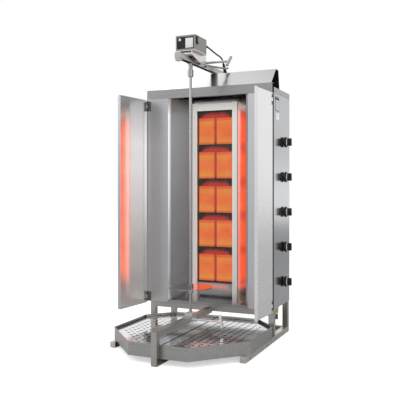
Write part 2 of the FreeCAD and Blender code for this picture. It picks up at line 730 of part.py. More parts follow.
def spindles_and_knobs():
    face = KNOB_FACE
    rim = face + s.skirt_depth
    end = rim + s.grip_length
    bore_end = end - s.knob_web
    bore = s.spindle_radius + s.turn_gap
    for number, height in enumerate(TAP_HEIGHTS, start=1):
        spindle = rod(f"TapSpindle{number}", "x", s.spindle_radius, (s.tap_axis, height),
                      (SPINDLE_START, bore_end - s.slide_gap))
        keep(spindle, f"tap_spindle_{number}")
        outline = [
            (bore_end, 0), (bore_end, bore), (face, bore), (face, s.skirt_radius),
            (rim - s.grip_nose, s.skirt_radius), (rim, s.skirt_radius - s.grip_nose), (rim, s.grip_radius),
            (end - s.grip_nose, s.grip_radius), (end, s.grip_radius - s.grip_nose), (end, 0),
        ]
        body = revolved(f"knob_turned_{number}", "x", outline)
        flats = [box("grip_flat", (rim + s.edge, end + OVER), span(sign, s.grip_half, s.skirt_radius),
                     (-s.skirt_radius, s.skirt_radius)) for _, sign in SIDES]
        knob = cut(f"Knob{number}", body, *flats)
        keep(place(knob, 0, s.tap_axis, height), f"knob_{number}")


# Rear hook


def rear_hook():
    back = CABINET_REAR
    low = s.hook_top - s.hook_drop
    path = [(back, s.hook_top), (back, low), (back + s.hook_reach, low),
            (back + s.hook_reach + s.hook_lean, low + s.hook_tip)]
    keep(prism("RearHook", "x", strip(path, s.hook_gauge),
               (CABINET_HALF - s.hook_inset, CABINET_HALF - s.hook_inset + s.hook_width)), "rear_hook")


# Upper arm


def arm_post():
    rear = s.arm_rear
    front = rear - s.tube
    plate_top = s.cabinet_top + s.post_plate_gauge
    side = s.post_plate / 2
    middle = (front + rear) / 2
    plate = box("post_plate", (-side, side), (middle - side, middle + side), (s.cabinet_top, plate_top))
    tube = square_tube("post_tube", "z", (-s.tube / 2, s.tube / 2), (front, rear), (plate_top, ARM_BOTTOM))
    keep(join("ArmPost", plate, tube), "arm_post")


def top_arm():
    slot_radius = s.arm_slot
    outer = box("arm_outer", (-ARM_HALF, ARM_HALF), (-s.arm_reach, s.arm_rear), (ARM_BOTTOM, ARM_TOP))
    inner = box("arm_inner", (-ARM_HALF + s.arm_wall, ARM_HALF - s.arm_wall),
                (-s.arm_reach - OVER, s.arm_rear + OVER), (ARM_BOTTOM - OVER, ARM_TOP - s.arm_wall))
    web = (ARM_TOP - s.arm_wall - OVER, ARM_TOP + OVER)
    ends = [rod("slot_end", "z", slot_radius, (0, at), web) for at in (-s.slot_forward, s.slot_backward)]
    slot = join("arm_slot", *ends, box("slot_middle", (-slot_radius, slot_radius),
                                       (-s.slot_forward, s.slot_backward), web))
    channel = cut("arm_channel", outer, inner, slot)
    lug_top = ARM_BOTTOM + s.lug_gauge
    pivot = ARM_HALF + s.lug_reach / 2
    lug = box("lever_lug", (ARM_HALF - s.slip_gap, ARM_HALF + s.lug_reach),
              (s.lever_pivot - s.lug_length / 2, s.lever_pivot + s.lug_length / 2), (ARM_BOTTOM, lug_top))
    head_start = lug_top + s.lever_hub_height + 2 * s.slide_gap
    pin = rod("lever_pin", "z", s.lever_pin, (pivot, s.lever_pivot), (lug_top - s.slip_gap, head_start + s.slide_gap))
    head = rod("lever_pin_head", "z", s.pin_head, (pivot, s.lever_pivot),
               (head_start, head_start + s.pin_head_height))
    keep(join("TopArm", channel, lug, pin, head), "top_arm")


def arm_end_stop():
    inner = ARM_HALF - s.arm_wall - s.slip_gap
    y = (-s.arm_reach, -s.arm_reach + s.stop_length)
    plug = box("stop_plug", (-inner, inner), y, (ARM_BOTTOM - s.edge, ARM_TOP - s.arm_wall - s.slip_gap))
    foot = box("stop_foot", (-inner - s.edge, inner + s.edge), (y[0] + s.edge, y[1] - s.edge),
               (ARM_BOTTOM - s.stop_drop, ARM_BOTTOM))
    keep(join("ArmEndStop", plug, foot), "arm_end_stop")


def lock_lever():
    bottom = s.lug_gauge + s.slide_gap
    hub = rod("lever_hub", "z", s.lever_hub, (0, 0), (bottom, bottom + s.lever_hub_height))
    middle = bottom + s.lever_hub_height / 2
    handle = rod("lever_rod", "y", s.lever_radius, (0, middle), (0, s.lever_length))
    knee = document.addObject("Part::Sphere", "lever_knee")
    bind(knee, "Radius", s.lever_radius)
    place(knee, 0, s.lever_length, middle)
    tail = rod("lever_tail", "y", s.lever_radius, (0, 0), (0, s.lever_tail))
    tail = tilted(group("lever_tail_turned", tail), (1, 0, 0), s.lever_rise, 0, s.lever_length, middle)
    bore = rod("lever_bore", "z", s.lever_pin + s.turn_gap, (0, 0), (bottom - OVER, bottom + 2 * s.lever_hub_height))
    lever = cut("LockLever", join("lever_forged", hub, handle, knee, tail), bore)
    tilted(lever, (0, 0, 1), -s.lever_angle, ARM_HALF + s.lug_reach / 2, s.lever_pivot, ARM_BOTTOM)
    keep(lever, "lock_lever")


# Motor carriage


def motor_saddle():
    under = ARM_TOP + s.carriage_lift
    foot = ARM_BOTTOM + s.cheek_drop
    outline = [
        (-s.box_reach, BOX_BOTTOM), (-s.box_reach, under - s.cheek_nose),
        (-s.box_reach + 2 * s.box_corner, under - s.cheek_nose - s.cheek_nose_step), (s.cheek_foot_front, foot),
        (s.cheek_foot_rear, foot), (s.cheek_rear, under - s.cheek_tail), (s.cheek_rear, BOX_BOTTOM),
    ]
    block = prism("saddle_block", "x", outline, (-s.cheek_half, s.cheek_half))
    table = box("saddle_table", (-s.box_half, s.box_half), (-s.box_reach, s.box_rear), (under, BOX_BOTTOM))
    boss = rod("clamp_boss", "x", s.boss_radius, (s.upper_screw_at, SCREW_HEIGHT),
               (CHEEK_INNER + s.slip_gap, s.cheek_half + s.boss_length))
    inside = box("saddle_inside", (-CHEEK_INNER, CHEEK_INNER), (-s.box_reach - OVER, s.cheek_rear + OVER),
                 (foot - OVER, under))
    hole = rod("saddle_shaft_hole", "z", s.shaft_hole, (0, 0), (under - OVER, BOX_BOTTOM + OVER))
    tapped = rod("clamp_bore", "x", s.screw_radius + s.turn_gap, (s.upper_screw_at, SCREW_HEIGHT),
                 (CHEEK_INNER - OVER, s.cheek_half + s.boss_length + OVER))
    folded = cut("saddle_folded", join("saddle_welded", block, table, boss), inside, hole, tapped)
    radius = s.carriage_lift / 2 - s.slide_gap
    glides = [rod(f"glide_{name}", "x", radius, (at, ARM_TOP + s.slide_gap + radius), (-CHEEK_INNER, CHEEK_INNER))
              for name, at in (("front", -s.glide_front), ("rear", s.glide_rear))]
    keep(group("MotorSaddle", folded, *glides), "motor_saddle")


def motor_cover():
    y = (-s.box_reach, s.box_rear)
    outline = [(-s.box_half, y[0]), (s.box_half, y[0]), (s.box_half, y[1]), (-s.box_half, y[1])]
    body = prism("cover_block", "z", outline, (BOX_BOTTOM, BOX_TOP))
    pad = body.Tip
    document.recompute()
    upright = [f"Edge{number}" for number, edge in enumerate(pad.Shape.Edges, start=1)
               if abs(edge.tangentAt(edge.FirstParameter).z) > 0.99]
    rounding = body.newObject("PartDesign::Fillet", "cover_corners")
    rounding.Base = (pad, upright)
    bind(rounding, "Radius", s.box_corner)
    wall = s.box_wall
    inner = box("cover_inside", (-s.box_half + wall, s.box_half - wall), (y[0] + wall, y[1] - wall),
                (BOX_BOTTOM - OVER, BOX_TOP - wall))
    margin = s.window_margin
    window = box("cover_window", (-s.box_half + margin, s.box_half - margin), (y[0] - OVER, y[0] + wall + OVER),
                 (BOX_BOTTOM + margin, BOX_TOP - margin))
    gland = rod("cover_gland_hole", "y", s.gland_radius - s.edge, GLAND,
                (y[1] - wall - OVER, y[1] + OVER))
    low, high = switch_height()
    switch = box("cover_switch_hole", (s.box_half - wall - OVER, s.box_half + OVER),
                 (-s.switch_at - s.switch_length / 2 + s.switch_wall, -s.switch_at + s.switch_length / 2
                  - s.switch_wall), (low + s.switch_wall, high - s.switch_wall))
    keep(cut("MotorCover", body, inner, window, gland, switch), "motor_cover")


def switch_height():
    high = BOX_TOP - s.switch_top_gap
    return high - s.switch_height, high


def motor_front_plate():
    margin = s.plate_inset
    front = -s.box_reach + s.box_wall
    keep(box("MotorFrontPlate", (-s.box_half + margin, s.box_half - margin), (front, front + s.box_wall),
             (BOX_BOTTOM + margin, BOX_TOP - margin)), "motor_front_plate")


def gearmotor():
    half = s.gearbox_half
    top = BOX_BOTTOM + s.gearbox_height
    gearbox = box("gearbox", (-half, half), (-half, half), (BOX_BOTTOM, top))
    can = rod("motor_can", "y", s.motor_radius, (0, top - s.motor_radius / 2),
              (half - OVER, half + s.motor_length))
    bore = rod("gearbox_bore", "z", s.shaft_radius + s.turn_gap, (0, 0),
               (BOX_BOTTOM - OVER, BOX_BOTTOM + s.shaft_rise + OVER))
    keep(cut("Gearmotor", join("gearmotor_cast", gearbox, can), bore), "gearmotor")


def switch():
    low, high = switch_height()
    y = (-s.switch_at - s.switch_length / 2, -s.switch_at + s.switch_length / 2)
    x = (s.box_half, s.box_half + s.switch_proud)
    bezel = box("switch_bezel", x, y, (low, high))
    wall = s.switch_wall
    tail = box("switch_tail", (s.box_half - s.switch_tail, s.box_half + s.slip_gap),
               (y[0] + wall + s.slip_gap, y[1] - wall - s.slip_gap), (low + wall + s.slip_gap, high - wall - s.slip_gap))
    hollow = box("switch_hollow", (s.box_half - s.switch_hollow, x[1] + OVER),
                 (y[0] + 2 * wall, y[1] - 2 * wall), (low + 2 * wall, high - 2 * wall))
    keep(cut("SwitchBody", join("switch_moulded", bezel, tail), hollow), "switch_body")
    middle = (low + high) / 2
    reach = (high - low) / 2 - 2 * wall - s.rocker_play
    fall = reach * math.tan(math.radians(s.rocker_tilt))
    pivot = s.box_half - s.switch_proud
    outline = [
        (pivot + s.switch_proud, middle - reach), (x[1] + s.rocker_rise, middle - reach),
        (x[1] + s.rocker_rise - fall, middle), (x[1] + s.rocker_rise - fall / 2, middle + reach),
        (pivot + s.switch_proud, middle + reach), (pivot, middle),
    ]
    width = (y[0] + 2 * wall + s.slide_gap, y[1] - 2 * wall - s.slide_gap)
    pin = rod("rocker_pin", "y", s.rocker_pivot, (pivot, middle), width)
    keep(join("RockerSwitch", prism("rocker_key", "y", outline, width), pin), "rocker_switch")


def clamp_screw(name, start, end, at, height, length, tilt, label):
    """A screw along X with a bar handle across its end."""
    screw = rod(f"{name}_screw", "x", s.screw_radius, (0, 0), (start, end - s.handle_radius / 2))
    bar = rod(f"{name}_bar", "z", s.handle_radius, (0, 0), (-length / 2 + s.handle_round, length / 2 - s.handle_round))
    caps = [rod(f"{name}_cap", "z", s.handle_radius, (0, 0), (length / 2 - s.handle_round, length / 2),
                s.handle_radius - s.handle_taper),
            rod(f"{name}_cap", "z", s.handle_radius - s.handle_taper, (0, 0),
                (-length / 2, -length / 2 + s.handle_round), s.handle_radius)]
    bar = tilted(join(f"{name}_handle", bar, *caps), (1, 0, 0), tilt, end, 0, 0)
    keep(place(join(name, screw, bar), 0, at, height), label)


def clamp_screws():
    clamp_screw("UpperClampScrew", ARM_HALF + s.slide_gap, s.upper_screw_end, s.upper_screw_at, SCREW_HEIGHT,
                s.upper_handle, s.upper_handle_tilt, "upper_clamp_screw")
    clamp_screw("LowerClampScrew", s.tube / 2 + s.slide_gap, s.lower_screw_end, 0, LOWER_SCREW_HEIGHT,
                s.lower_handle, s.lower_handle_tilt, "lower_clamp_screw")


# Spit, disc and drive


def drive_sleeve():
    seat = s.spit_top + s.slip_gap
    outline = [
        (s.sleeve_bottom, s.spit_radius + s.turn_gap), (s.sleeve_bottom, s.collar_radius - s.edge),
        (s.sleeve_bottom + s.edge, s.collar_radius),
        (s.sleeve_bottom + s.collar_height - s.edge, s.collar_radius),
        (s.sleeve_bottom + s.collar_height, s.collar_radius - s.edge),
        (s.sleeve_bottom + s.collar_height, s.sleeve_radius), (s.sleeve_top, s.sleeve_radius),
        (s.sleeve_top, s.shaft_radius + s.turn_gap), (seat, s.shaft_radius + s.turn_gap),
        (seat, s.spit_radius + s.turn_gap),
    ]
    sleeve = revolved("sleeve", "z", outline)
    shaft = rod("output_shaft", "z", s.shaft_radius, (0, 0), (seat, BOX_BOTTOM + s.shaft_rise))
    keep(group("DriveSleeve", sleeve, shaft), "drive_sleeve")


def spit_rod():
    tip = SADDLE_TOP - s.pivot_depth + s.slide_gap
    outline = [(tip, 0), (tip, s.spit_radius - s.edge), (tip + s.edge, s.spit_radius),
               (s.spit_top, s.spit_radius), (s.spit_top, 0)]
    keep(revolved("SpitRod", "z", outline), "spit_rod")


def meat_disc():
    low = s.disc_height - s.disc_gauge / 2
    high = s.disc_height + s.disc_gauge / 2
    hub_low = s.disc_height - s.hub_height / 2
    hub_high = s.disc_height + s.hub_height / 2
    bore = s.spit_radius + s.turn_gap
    outline = [
        (hub_low, bore), (hub_low, s.hub_radius), (low, s.hub_radius),
        (low, s.disc_radius - s.edge), (low + s.edge, s.disc_radius), (high - s.edge, s.disc_radius),
        (high, s.disc_radius - s.edge), (high, s.hub_radius), (hub_high, s.hub_radius), (hub_high, bore),
    ]
    keep(revolved("MeatDisc", "z", outline), "meat_disc")


def disc_clip():
    """Clamp collar under the disc with its small lever."""
    top = s.disc_height - s.hub_height / 2
    height = s.clip_width
    ring = rod("clip_ring", "z", s.hub_radius - s.edge, (0, 0), (top - height, top))
    half = s.clip_width / 2
    path = [(-s.spit_radius, top - height / 2), (-s.clip_reach, top - s.clip_drop)]
    lever = prism("clip_lever", "y", strip(path, s.clip_gauge), (-half, half))
    bore = rod("clip_bore", "z", s.spit_radius + s.turn_gap, (0, 0), (top - 2 * s.clip_drop, top + OVER))
    keep(cut("DiscClip", join("clip_forged", ring, lever), bore), "disc_clip")


# Lower carriage


def lower_carriage():
    half = SADDLE_HALF
    length = s.saddle_length / 2
    groove = s.tube / 2 + s.slide_gap
    bottom = s.beam_top - s.saddle_drop
    outline = [
        (-half, bottom), (-half, SADDLE_TOP - 2 * s.edge), (-half + 2 * s.edge, SADDLE_TOP),
        (half - 2 * s.edge, SADDLE_TOP), (half, SADDLE_TOP - 2 * s.edge), (half, bottom), (groove, bottom),
        (groove, s.beam_top + s.slide_gap), (-groove, s.beam_top + s.slide_gap), (-groove, bottom),
    ]
    block = prism("carriage_block", "y", outline, (-length, length))
    boss = rod("carriage_boss", "x", s.boss_radius, (0, LOWER_SCREW_HEIGHT), (half - OVER, half + s.boss_length))
    tapped = rod("carriage_tapped", "x", s.screw_radius + s.turn_gap, (0, LOWER_SCREW_HEIGHT),
                 (groove - OVER, half + s.boss_length + OVER))
    pivot = rod("carriage_pivot", "z", s.spit_radius + s.turn_gap, (0, 0),
                (SADDLE_TOP - s.pivot_depth, SADDLE_TOP + OVER))
    keep(cut("LowerCarriage", join("carriage_cast", block, boss), tapped, pivot), "lower_carriage")


# Wings and hinges


def hinge_spans():
    """Heights of the two hinges of a wing, and of the middle knuckle of each."""
    spans = []
    for low in (s.wing_bottom + s.hinge_inset, s.wing_top - s.hinge_inset - s.hinge_height):
        third = s.hinge_height / 3
        spans.append(((low, low + s.hinge_height), (low + third, low + 2 * third)))
    return spans


def wings():
    for side, sign, angle in (("left", -1, s.left_wing_angle), ("right", 1, s.right_wing_angle)):
        path = [(0, s.wing_lead), (0, -s.wing_length),
                (sign * s.wing_flange, -s.wing_length)]
        outline = strip(path if sign > 0 else path[::-1], s.wing_gauge)
        body = prism(f"wing_sheet_{side}", "z", outline, (s.wing_bottom, s.wing_top))
        pad = body.Tip
        document.recompute()
        # The flange's outer corners are rounded.
        tip = sign * float(s.wing_flange)
        corners = [f"Edge{number}" for number, edge in enumerate(pad.Shape.Edges, start=1)
                   if abs(edge.tangentAt(edge.FirstParameter).y) > 0.99
                   and abs(edge.CenterOfMass.x - tip) < float(s.wing_gauge) / 10]
        rounding = body.newObject("PartDesign::Fillet", f"wing_corners_{side}")
        rounding.Base = (pad, corners)
        bind(rounding, "Radius", s.wing_corner)
        knuckles = []
        leaf_x = (-s.leaf_gauge, 0) if sign > 0 else (0, s.leaf_gauge)
        for _, (low, high) in hinge_spans():
            low, high = low + s.knuckle_gap, high - s.knuckle_gap
            barrel = rod(f"wing_barrel_{side}", "z", s.barrel_radius, (0, 0), (low, high))
            leaf = box(f"wing_leaf_{side}", leaf_x, (-s.leaf_width, 0), (low, high))
            knuckles += [barrel, leaf]
        holes = [rod(f"wing_pin_hole_{side}", "z", s.pin_radius + s.turn_gap, (0, 0), (low - OVER, high + OVER))
                 for _, (low, high) in hinge_spans()]
        near = s.barrel_radius + s.wing_gap
        notches = [box(f"wing_notch_{side}", (-near, near), (-near, near), ends)
                   for (bottom, top), (low, high) in hinge_spans()
                   for ends in ((bottom - s.knuckle_gap, low), (high, top + s.knuckle_gap))]
        sheet_cut = cut(f"wing_notched_{side}", body, *notches)
        wing = cut(f"Wing_{side}", join(f"wing_welded_{side}", sheet_cut, *knuckles), *holes)
        tilted(wing, (0, 0, 1), -angle, sign * CABINET_HALF, s.hinge_front, 0)
        keep(wing, f"wing_{side}")


def frame_hinges():
    """Fixed leaves with two knuckles each, and the four hinge pins."""
    pieces = []
    for side, sign in SIDES:
        x = sign * CABINET_HALF
        face = s.cabinet_front
        for (bottom, top), (low, high) in hinge_spans():
            leaf = box(f"fixed_leaf_{side}", span(sign, CABINET_HALF - s.leaf_width - s.barrel_radius, CABINET_HALF),
                       (face - s.leaf_gauge, face), (bottom, top))
            ends = [rod(f"fixed_barrel_{side}", "z", s.barrel_radius, (x, s.hinge_front), ends_at)
                    for ends_at in ((bottom, low), (high, top))]
            webs = [box(f"fixed_web_{side}", span(sign, CABINET_HALF - s.leaf_gauge, CABINET_HALF),
                        (s.hinge_front, face), ends_at) for ends_at in ((bottom, low), (high, top))]
            pin_hole = rod(f"fixed_pin_hole_{side}", "z", s.pin_radius, (x, s.hinge_front),
                           (bottom - OVER, top + OVER))
            sweep = rod(f"knuckle_room_{side}", "z", s.barrel_radius + s.slide_gap, (x, s.hinge_front), (low, high))
            pieces.append(cut(f"fixed_hinge_{side}", join(f"fixed_folded_{side}", leaf, *ends, *webs),
                              pin_hole, sweep))
            pieces.append(rod(f"hinge_pin_{side}", "z", s.pin_radius, (x, s.hinge_front), (bottom, top)))
    keep(group("FrameHinges", *pieces), "frame_hinges")


# Cable


# Shares of a leg of the lead that a bend may take.
END_SHARE = 0.9
INNER_SHARE = 0.45


def plug_turn():
    """How the plug leans: towards the front and a little to the left."""
    lean = FreeCAD.Rotation(FreeCAD.Vector(1, 0, 0), float(s.plug_tilt))
    return FreeCAD.Rotation(FreeCAD.Vector(0, 0, 1), -float(s.plug_turn)).multiply(lean)


def leaning(item):
    item.Placement = FreeCAD.Placement(FreeCAD.Vector(), plug_turn())
    return place(item, s.socket_side, s.socket_at, s.hood_top)


def socket_and_plug():
    flange = rod("socket_flange", "z", s.socket_flange, (s.socket_side, s.socket_at),
                 (s.hood_top, s.hood_top + s.leaf_gauge))
    barrel = leaning(group("socket_barrel", rod("socket_tube", "z", s.socket_radius, (0, 0),
                                               (-s.socket_height, s.socket_height))))
    below = box("socket_below", (s.socket_side - 3 * s.socket_flange, s.socket_side + 3 * s.socket_flange),
                (s.socket_at - 3 * s.socket_flange, s.socket_at + 3 * s.socket_flange),
                (s.hood_top - 3 * s.socket_height, s.hood_top))
    keep(cut("Socket", join("socket_moulded", flange, barrel), below), "socket")
    start = s.socket_height
    top = start + s.plug_length
    outline = [(start, 0), (start, s.plug_radius), (top - s.plug_taper, s.plug_radius),
               (top, s.cable_radius + s.edge), (top, 0)]
    keep(leaning(revolved("Plug", "z", outline)), "plug")


def strain_relief():
    nut = rod("gland_nut", "y", s.gland_radius, GLAND, (s.box_rear, s.box_rear + s.gland_length))
    neck = rod("gland_neck", "y", s.gland_radius - s.edge - s.slip_gap, GLAND,
               (s.box_rear - 2 * s.box_wall, s.box_rear))
    keep(join("StrainRelief", nut, neck), "strain_relief")


def cable():
    """The lead from the motor box to the socket on the hood, at its real length."""
    turn = plug_turn()
    foot = vector(s.socket_side, s.socket_at, s.hood_top)
    plug_top = float(s.socket_height + s.plug_length)
    end = foot + turn.multVec(FreeCAD.Vector(0, 0, plug_top))
    crown = foot + turn.multVec(vector(0, 0, plug_top + s.lead_crown))
    start = vector(GLAND[0], s.box_rear + s.gland_length, GLAND[1])
    points = [start, start + vector(0, s.lead_straight, 0),
              start + vector(s.lead_side, s.lead_reach, -s.lead_sag), crown, end]
    radii = []
    for index, corner in enumerate(points[1:-1], start=1):
        before, after = points[index - 1], points[index + 1]
        # A leg between two bends is shared by them, and an end leg belongs to its bend alone.
        legs = [(corner - before).Length * (END_SHARE if index == 1 else INNER_SHARE),
                (after - corner).Length * (END_SHARE if index == len(points) - 2 else INNER_SHARE)]
        radii.append(min(legs) / math.tan((corner - before).getAngle(after - corner) / 2))
    path = bent_path(points, radii)
    lead = document.addObject("Part::Feature", "Cable")
    lead.Shape = swept(path, float(s.cable_radius), SMOOTH)
    print("lead length", round(path.Length, 1), "bends", [round(radius, 1) for radius in radii])
    keep(lead, "cable")


def build():
    for piece in (
        floor_rails, legs, front_crossbar, front_post, spit_beam, drip_pan, grates, side_panels, back_panel,
        cabinet_floor, top_cover, lintel, hood, reflectors, burner_uprights, burner_plate, burner_housings,
        burner_tiles, burner_feeds, gas_taps, gas_manifold, gas_inlet, spindles_and_knobs, rear_hook, arm_post,
        top_arm, arm_end_stop, lock_lever, motor_saddle, motor_cover, motor_front_plate, gearmotor, switch,
        clamp_screws, drive_sleeve, spit_rod, meat_disc, disc_clip, lower_carriage, wings, frame_hinges,
        socket_and_plug, strain_relief, cable,
    ):
        piece()
    document.recompute()


def check():
    for item in document.Objects:
        if {"Invalid", "Error"} & set(item.State):
            raise RuntimeError(f"{item.Name} ({item.Label}) failed: {item.State}")
    for item in subparts:
        shape = item.Shape
        if shape.isNull() or not shape.isValid() or not shape.Solids:
            raise RuntimeError(f"{item.Label} has no valid solid")


def export():
    os.makedirs("parts", exist_ok=True)
    for item in subparts:
        item.Shape.exportStep(f"parts/{item.Label}.step")
    print(len(subparts), "sub-parts")


build()
check()
export()
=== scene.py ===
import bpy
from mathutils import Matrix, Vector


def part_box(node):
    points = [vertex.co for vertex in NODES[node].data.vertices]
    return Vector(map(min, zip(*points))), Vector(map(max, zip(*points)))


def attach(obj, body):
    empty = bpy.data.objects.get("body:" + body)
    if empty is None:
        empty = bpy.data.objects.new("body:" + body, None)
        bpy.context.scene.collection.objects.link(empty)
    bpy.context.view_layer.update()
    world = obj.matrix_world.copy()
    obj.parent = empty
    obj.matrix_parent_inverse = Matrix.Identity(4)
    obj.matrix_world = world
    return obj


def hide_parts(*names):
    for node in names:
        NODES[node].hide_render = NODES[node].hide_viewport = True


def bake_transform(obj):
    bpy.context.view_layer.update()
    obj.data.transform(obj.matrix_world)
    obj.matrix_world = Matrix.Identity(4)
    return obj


bl_info = {
    "name": "Upright Spit Grill",
    "version": (1, 0, 0),
    "blender": (4, 5, 0),
    "location": "View3D > Sidebar > Spit Grill",
    "description": "Finishes, fittings and studio for an upright gas grill with a turning spit",
    "category": "Object",
}

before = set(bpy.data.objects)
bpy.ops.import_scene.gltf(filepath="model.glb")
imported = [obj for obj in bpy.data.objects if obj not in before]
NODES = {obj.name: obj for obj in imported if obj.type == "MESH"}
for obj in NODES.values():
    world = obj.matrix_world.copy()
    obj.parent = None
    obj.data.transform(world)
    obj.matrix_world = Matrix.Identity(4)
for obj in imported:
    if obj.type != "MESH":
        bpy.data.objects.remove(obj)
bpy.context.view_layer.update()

import math

import bmesh
import bpy
from mathutils import Matrix, Vector

# Places shared with the CAD source, in metres
LEAD_ROUTE = (
    (0.037, 0.081, 1.320), (0.037, 0.117, 1.320), (0.040, 0.191, 1.306),
    (0.0431, 0.26223, 1.3013), (0.04549, 0.27115, 1.27592),
)
LEAD_RADIUS = 0.0035
TAPS = range(1, 6)

# The camera of the photograph: place in metres, turn about the upright in degrees, lens in mm and shift
CAMERA_PLACE, CAMERA_TURN = (1.1449, -2.4824, 0.700), 23.9
CAMERA_LENS, CAMERA_SHIFT = 56.46, -0.036


def linear(red, green, blue):
    """A screen colour, 0 to 255, as the linear colour that a shader takes."""
    def channel(value):
        share = value / 255
        return share / 12.92 if share <= 0.04045 else ((share + 0.055) / 1.055) ** 2.4
    return (channel(red), channel(green), channel(blue), 1.0)


# Settings


class SheetFinish(bpy.types.PropertyGroup):
    polished: bpy.props.FloatVectorProperty(
        name="Polished", description="Tone of the mirror-polished sheet", subtype="COLOR", size=4,
        min=0, max=1, default=(0.42, 0.425, 0.44, 1))
    brushed: bpy.props.FloatVectorProperty(
        name="Brushed", description="Tone of the brushed sheet", subtype="COLOR", size=4,
        min=0, max=1, default=(0.78, 0.78, 0.79, 1))
    satin: bpy.props.FloatVectorProperty(
        name="Satin", description="Tone of the satin tube and pan", subtype="COLOR", size=4,
        min=0, max=1, default=(0.38, 0.38, 0.375, 1))
    polish_roughness: bpy.props.FloatProperty(
        name="Polish", description="Roughness of the polished sheet", subtype="FACTOR",
        min=0, max=1, default=0.10)
    brush_roughness: bpy.props.FloatProperty(
        name="Brushing", description="Roughness of the brushed sheet", subtype="FACTOR",
        min=0, max=1, default=0.27)


class FireFinish(bpy.types.PropertyGroup):
    glow: bpy.props.FloatVectorProperty(
        name="Glow", description="Colour of the glowing tiles", subtype="COLOR", size=4,
        min=0, max=1, default=linear(226, 110, 48))
    ember: bpy.props.FloatVectorProperty(
        name="Ember", description="Colour of the cooler edges of a tile", subtype="COLOR", size=4,
        min=0, max=1, default=linear(214, 76, 46))
    strength: bpy.props.FloatProperty(
        name="Strength", description="Brightness of the tiles", min=0, max=5, default=0.92)
    heat: bpy.props.FloatProperty(
        name="Heat", description="Power of the fire's light on the sheets around it", unit="POWER",
        default=0.6)


class GrateSizes(bpy.types.PropertyGroup):
    pitch: bpy.props.FloatProperty(
        name="Pitch", description="Distance between neighbouring holes", unit="LENGTH", default=0.029)
    hole: bpy.props.FloatProperty(
        name="Hole", description="Radius of a hole", unit="LENGTH", default=0.0064)
    gauge: bpy.props.FloatProperty(
        name="Gauge", description="Thickness of the sheet", unit="LENGTH", default=0.0008)
    border: bpy.props.FloatProperty(
        name="Border", description="Plain border around the holes", unit="LENGTH", default=0.006)


class StageLight(bpy.types.PropertyGroup):
    sky: bpy.props.FloatProperty(
        name="Room", description="Brightness of the room around the stage", min=0, max=2, default=0.50)
    overhead: bpy.props.FloatProperty(
        name="Overhead", description="Power of the overhead softbox", unit="POWER", default=30)
    key: bpy.props.FloatProperty(
        name="Key", description="Power of the softbox on the left", unit="POWER", default=38)
    fill: bpy.props.FloatProperty(
        name="Fill", description="Power of the softbox on the right", unit="POWER", default=24)
    front: bpy.props.FloatProperty(
        name="Front", description="How much brighter the room is in front of the grill",
        min=0, max=2, default=0.42)


# Node building


def feed(tree, node, sockets):
    """Gives the sockets of a node, named or numbered, their values or links."""
    for name, value in sockets.items():
        if isinstance(value, bpy.types.NodeSocket):
            tree.links.new(value, node.inputs[name])
        else:
            node.inputs[name].default_value = value
    return node


def add(tree, kind, sockets=None, **settings):
    made = tree.nodes.new(kind)
    for name, value in settings.items():
        setattr(made, name, value)
    return feed(tree, made, sockets or {})


def maths(tree, operation, first, second=0.0, clamp=False):
    return add(tree, "ShaderNodeMath", {0: first, 1: second}, operation=operation, use_clamp=clamp).outputs[0]


def product(tree, first, second, clamp=False):
    return maths(tree, "MULTIPLY", first, second, clamp)


def total(tree, first, second, clamp=False):
    return maths(tree, "ADD", first, second, clamp)


def difference(tree, first, second):
    return maths(tree, "SUBTRACT", first, second)


def spread(tree, value, low, high, start=0.0, end=1.0):
    """Maps low to high onto start to end, held at both ends."""
    return add(tree, "ShaderNodeMapRange", {0: value, 1: low, 2: high, 3: start, 4: end}).outputs[0]


def blended(tree, share, first, second, mode="MIX"):
    return add(tree, "ShaderNodeMix", {0: share, 6: first, 7: second}, data_type="RGBA",
               blend_type=mode).outputs[2]


def places(tree):
    return add(tree, "ShaderNodeTexCoord").outputs["Object"]


def stretched(tree, stretch):
    return add(tree, "ShaderNodeVectorMath", {0: places(tree), 1: stretch}, operation="MULTIPLY").outputs[0]


def axes_of(tree, vector):
    """The sockets X, Y and Z of a vector."""
    return add(tree, "ShaderNodeSeparateXYZ", {0: vector}).outputs


def rays(tree):
    """Whether a ray comes from the camera, and whether it comes off a mirror or through glass."""
    path = add(tree, "ShaderNodeLightPath").outputs
    return path["Is Camera Ray"], maths(tree, "MAXIMUM", path["Is Glossy Ray"], path["Is Transmission Ray"])


def noise(tree, vector, scale, detail=2.0, roughness=0.5):
    return add(tree, "ShaderNodeTexNoise", {"Vector": vector, "Scale": scale, "Detail": detail,
                                            "Roughness": roughness}).outputs[0]


def effect(name, inputs, outputs):
    """An empty node group with its sockets, and its input and output nodes."""
    tree = bpy.data.node_groups.new(name, "ShaderNodeTree")
    for label, kind, value in inputs:
        socket = tree.interface.new_socket(label, in_out="INPUT", socket_type=kind)
        socket.default_value = value
    for label, kind in outputs:
        tree.interface.new_socket(label, in_out="OUTPUT", socket_type=kind)
    return tree, tree.nodes.new("NodeGroupInput"), tree.nodes.new("NodeGroupOutput")


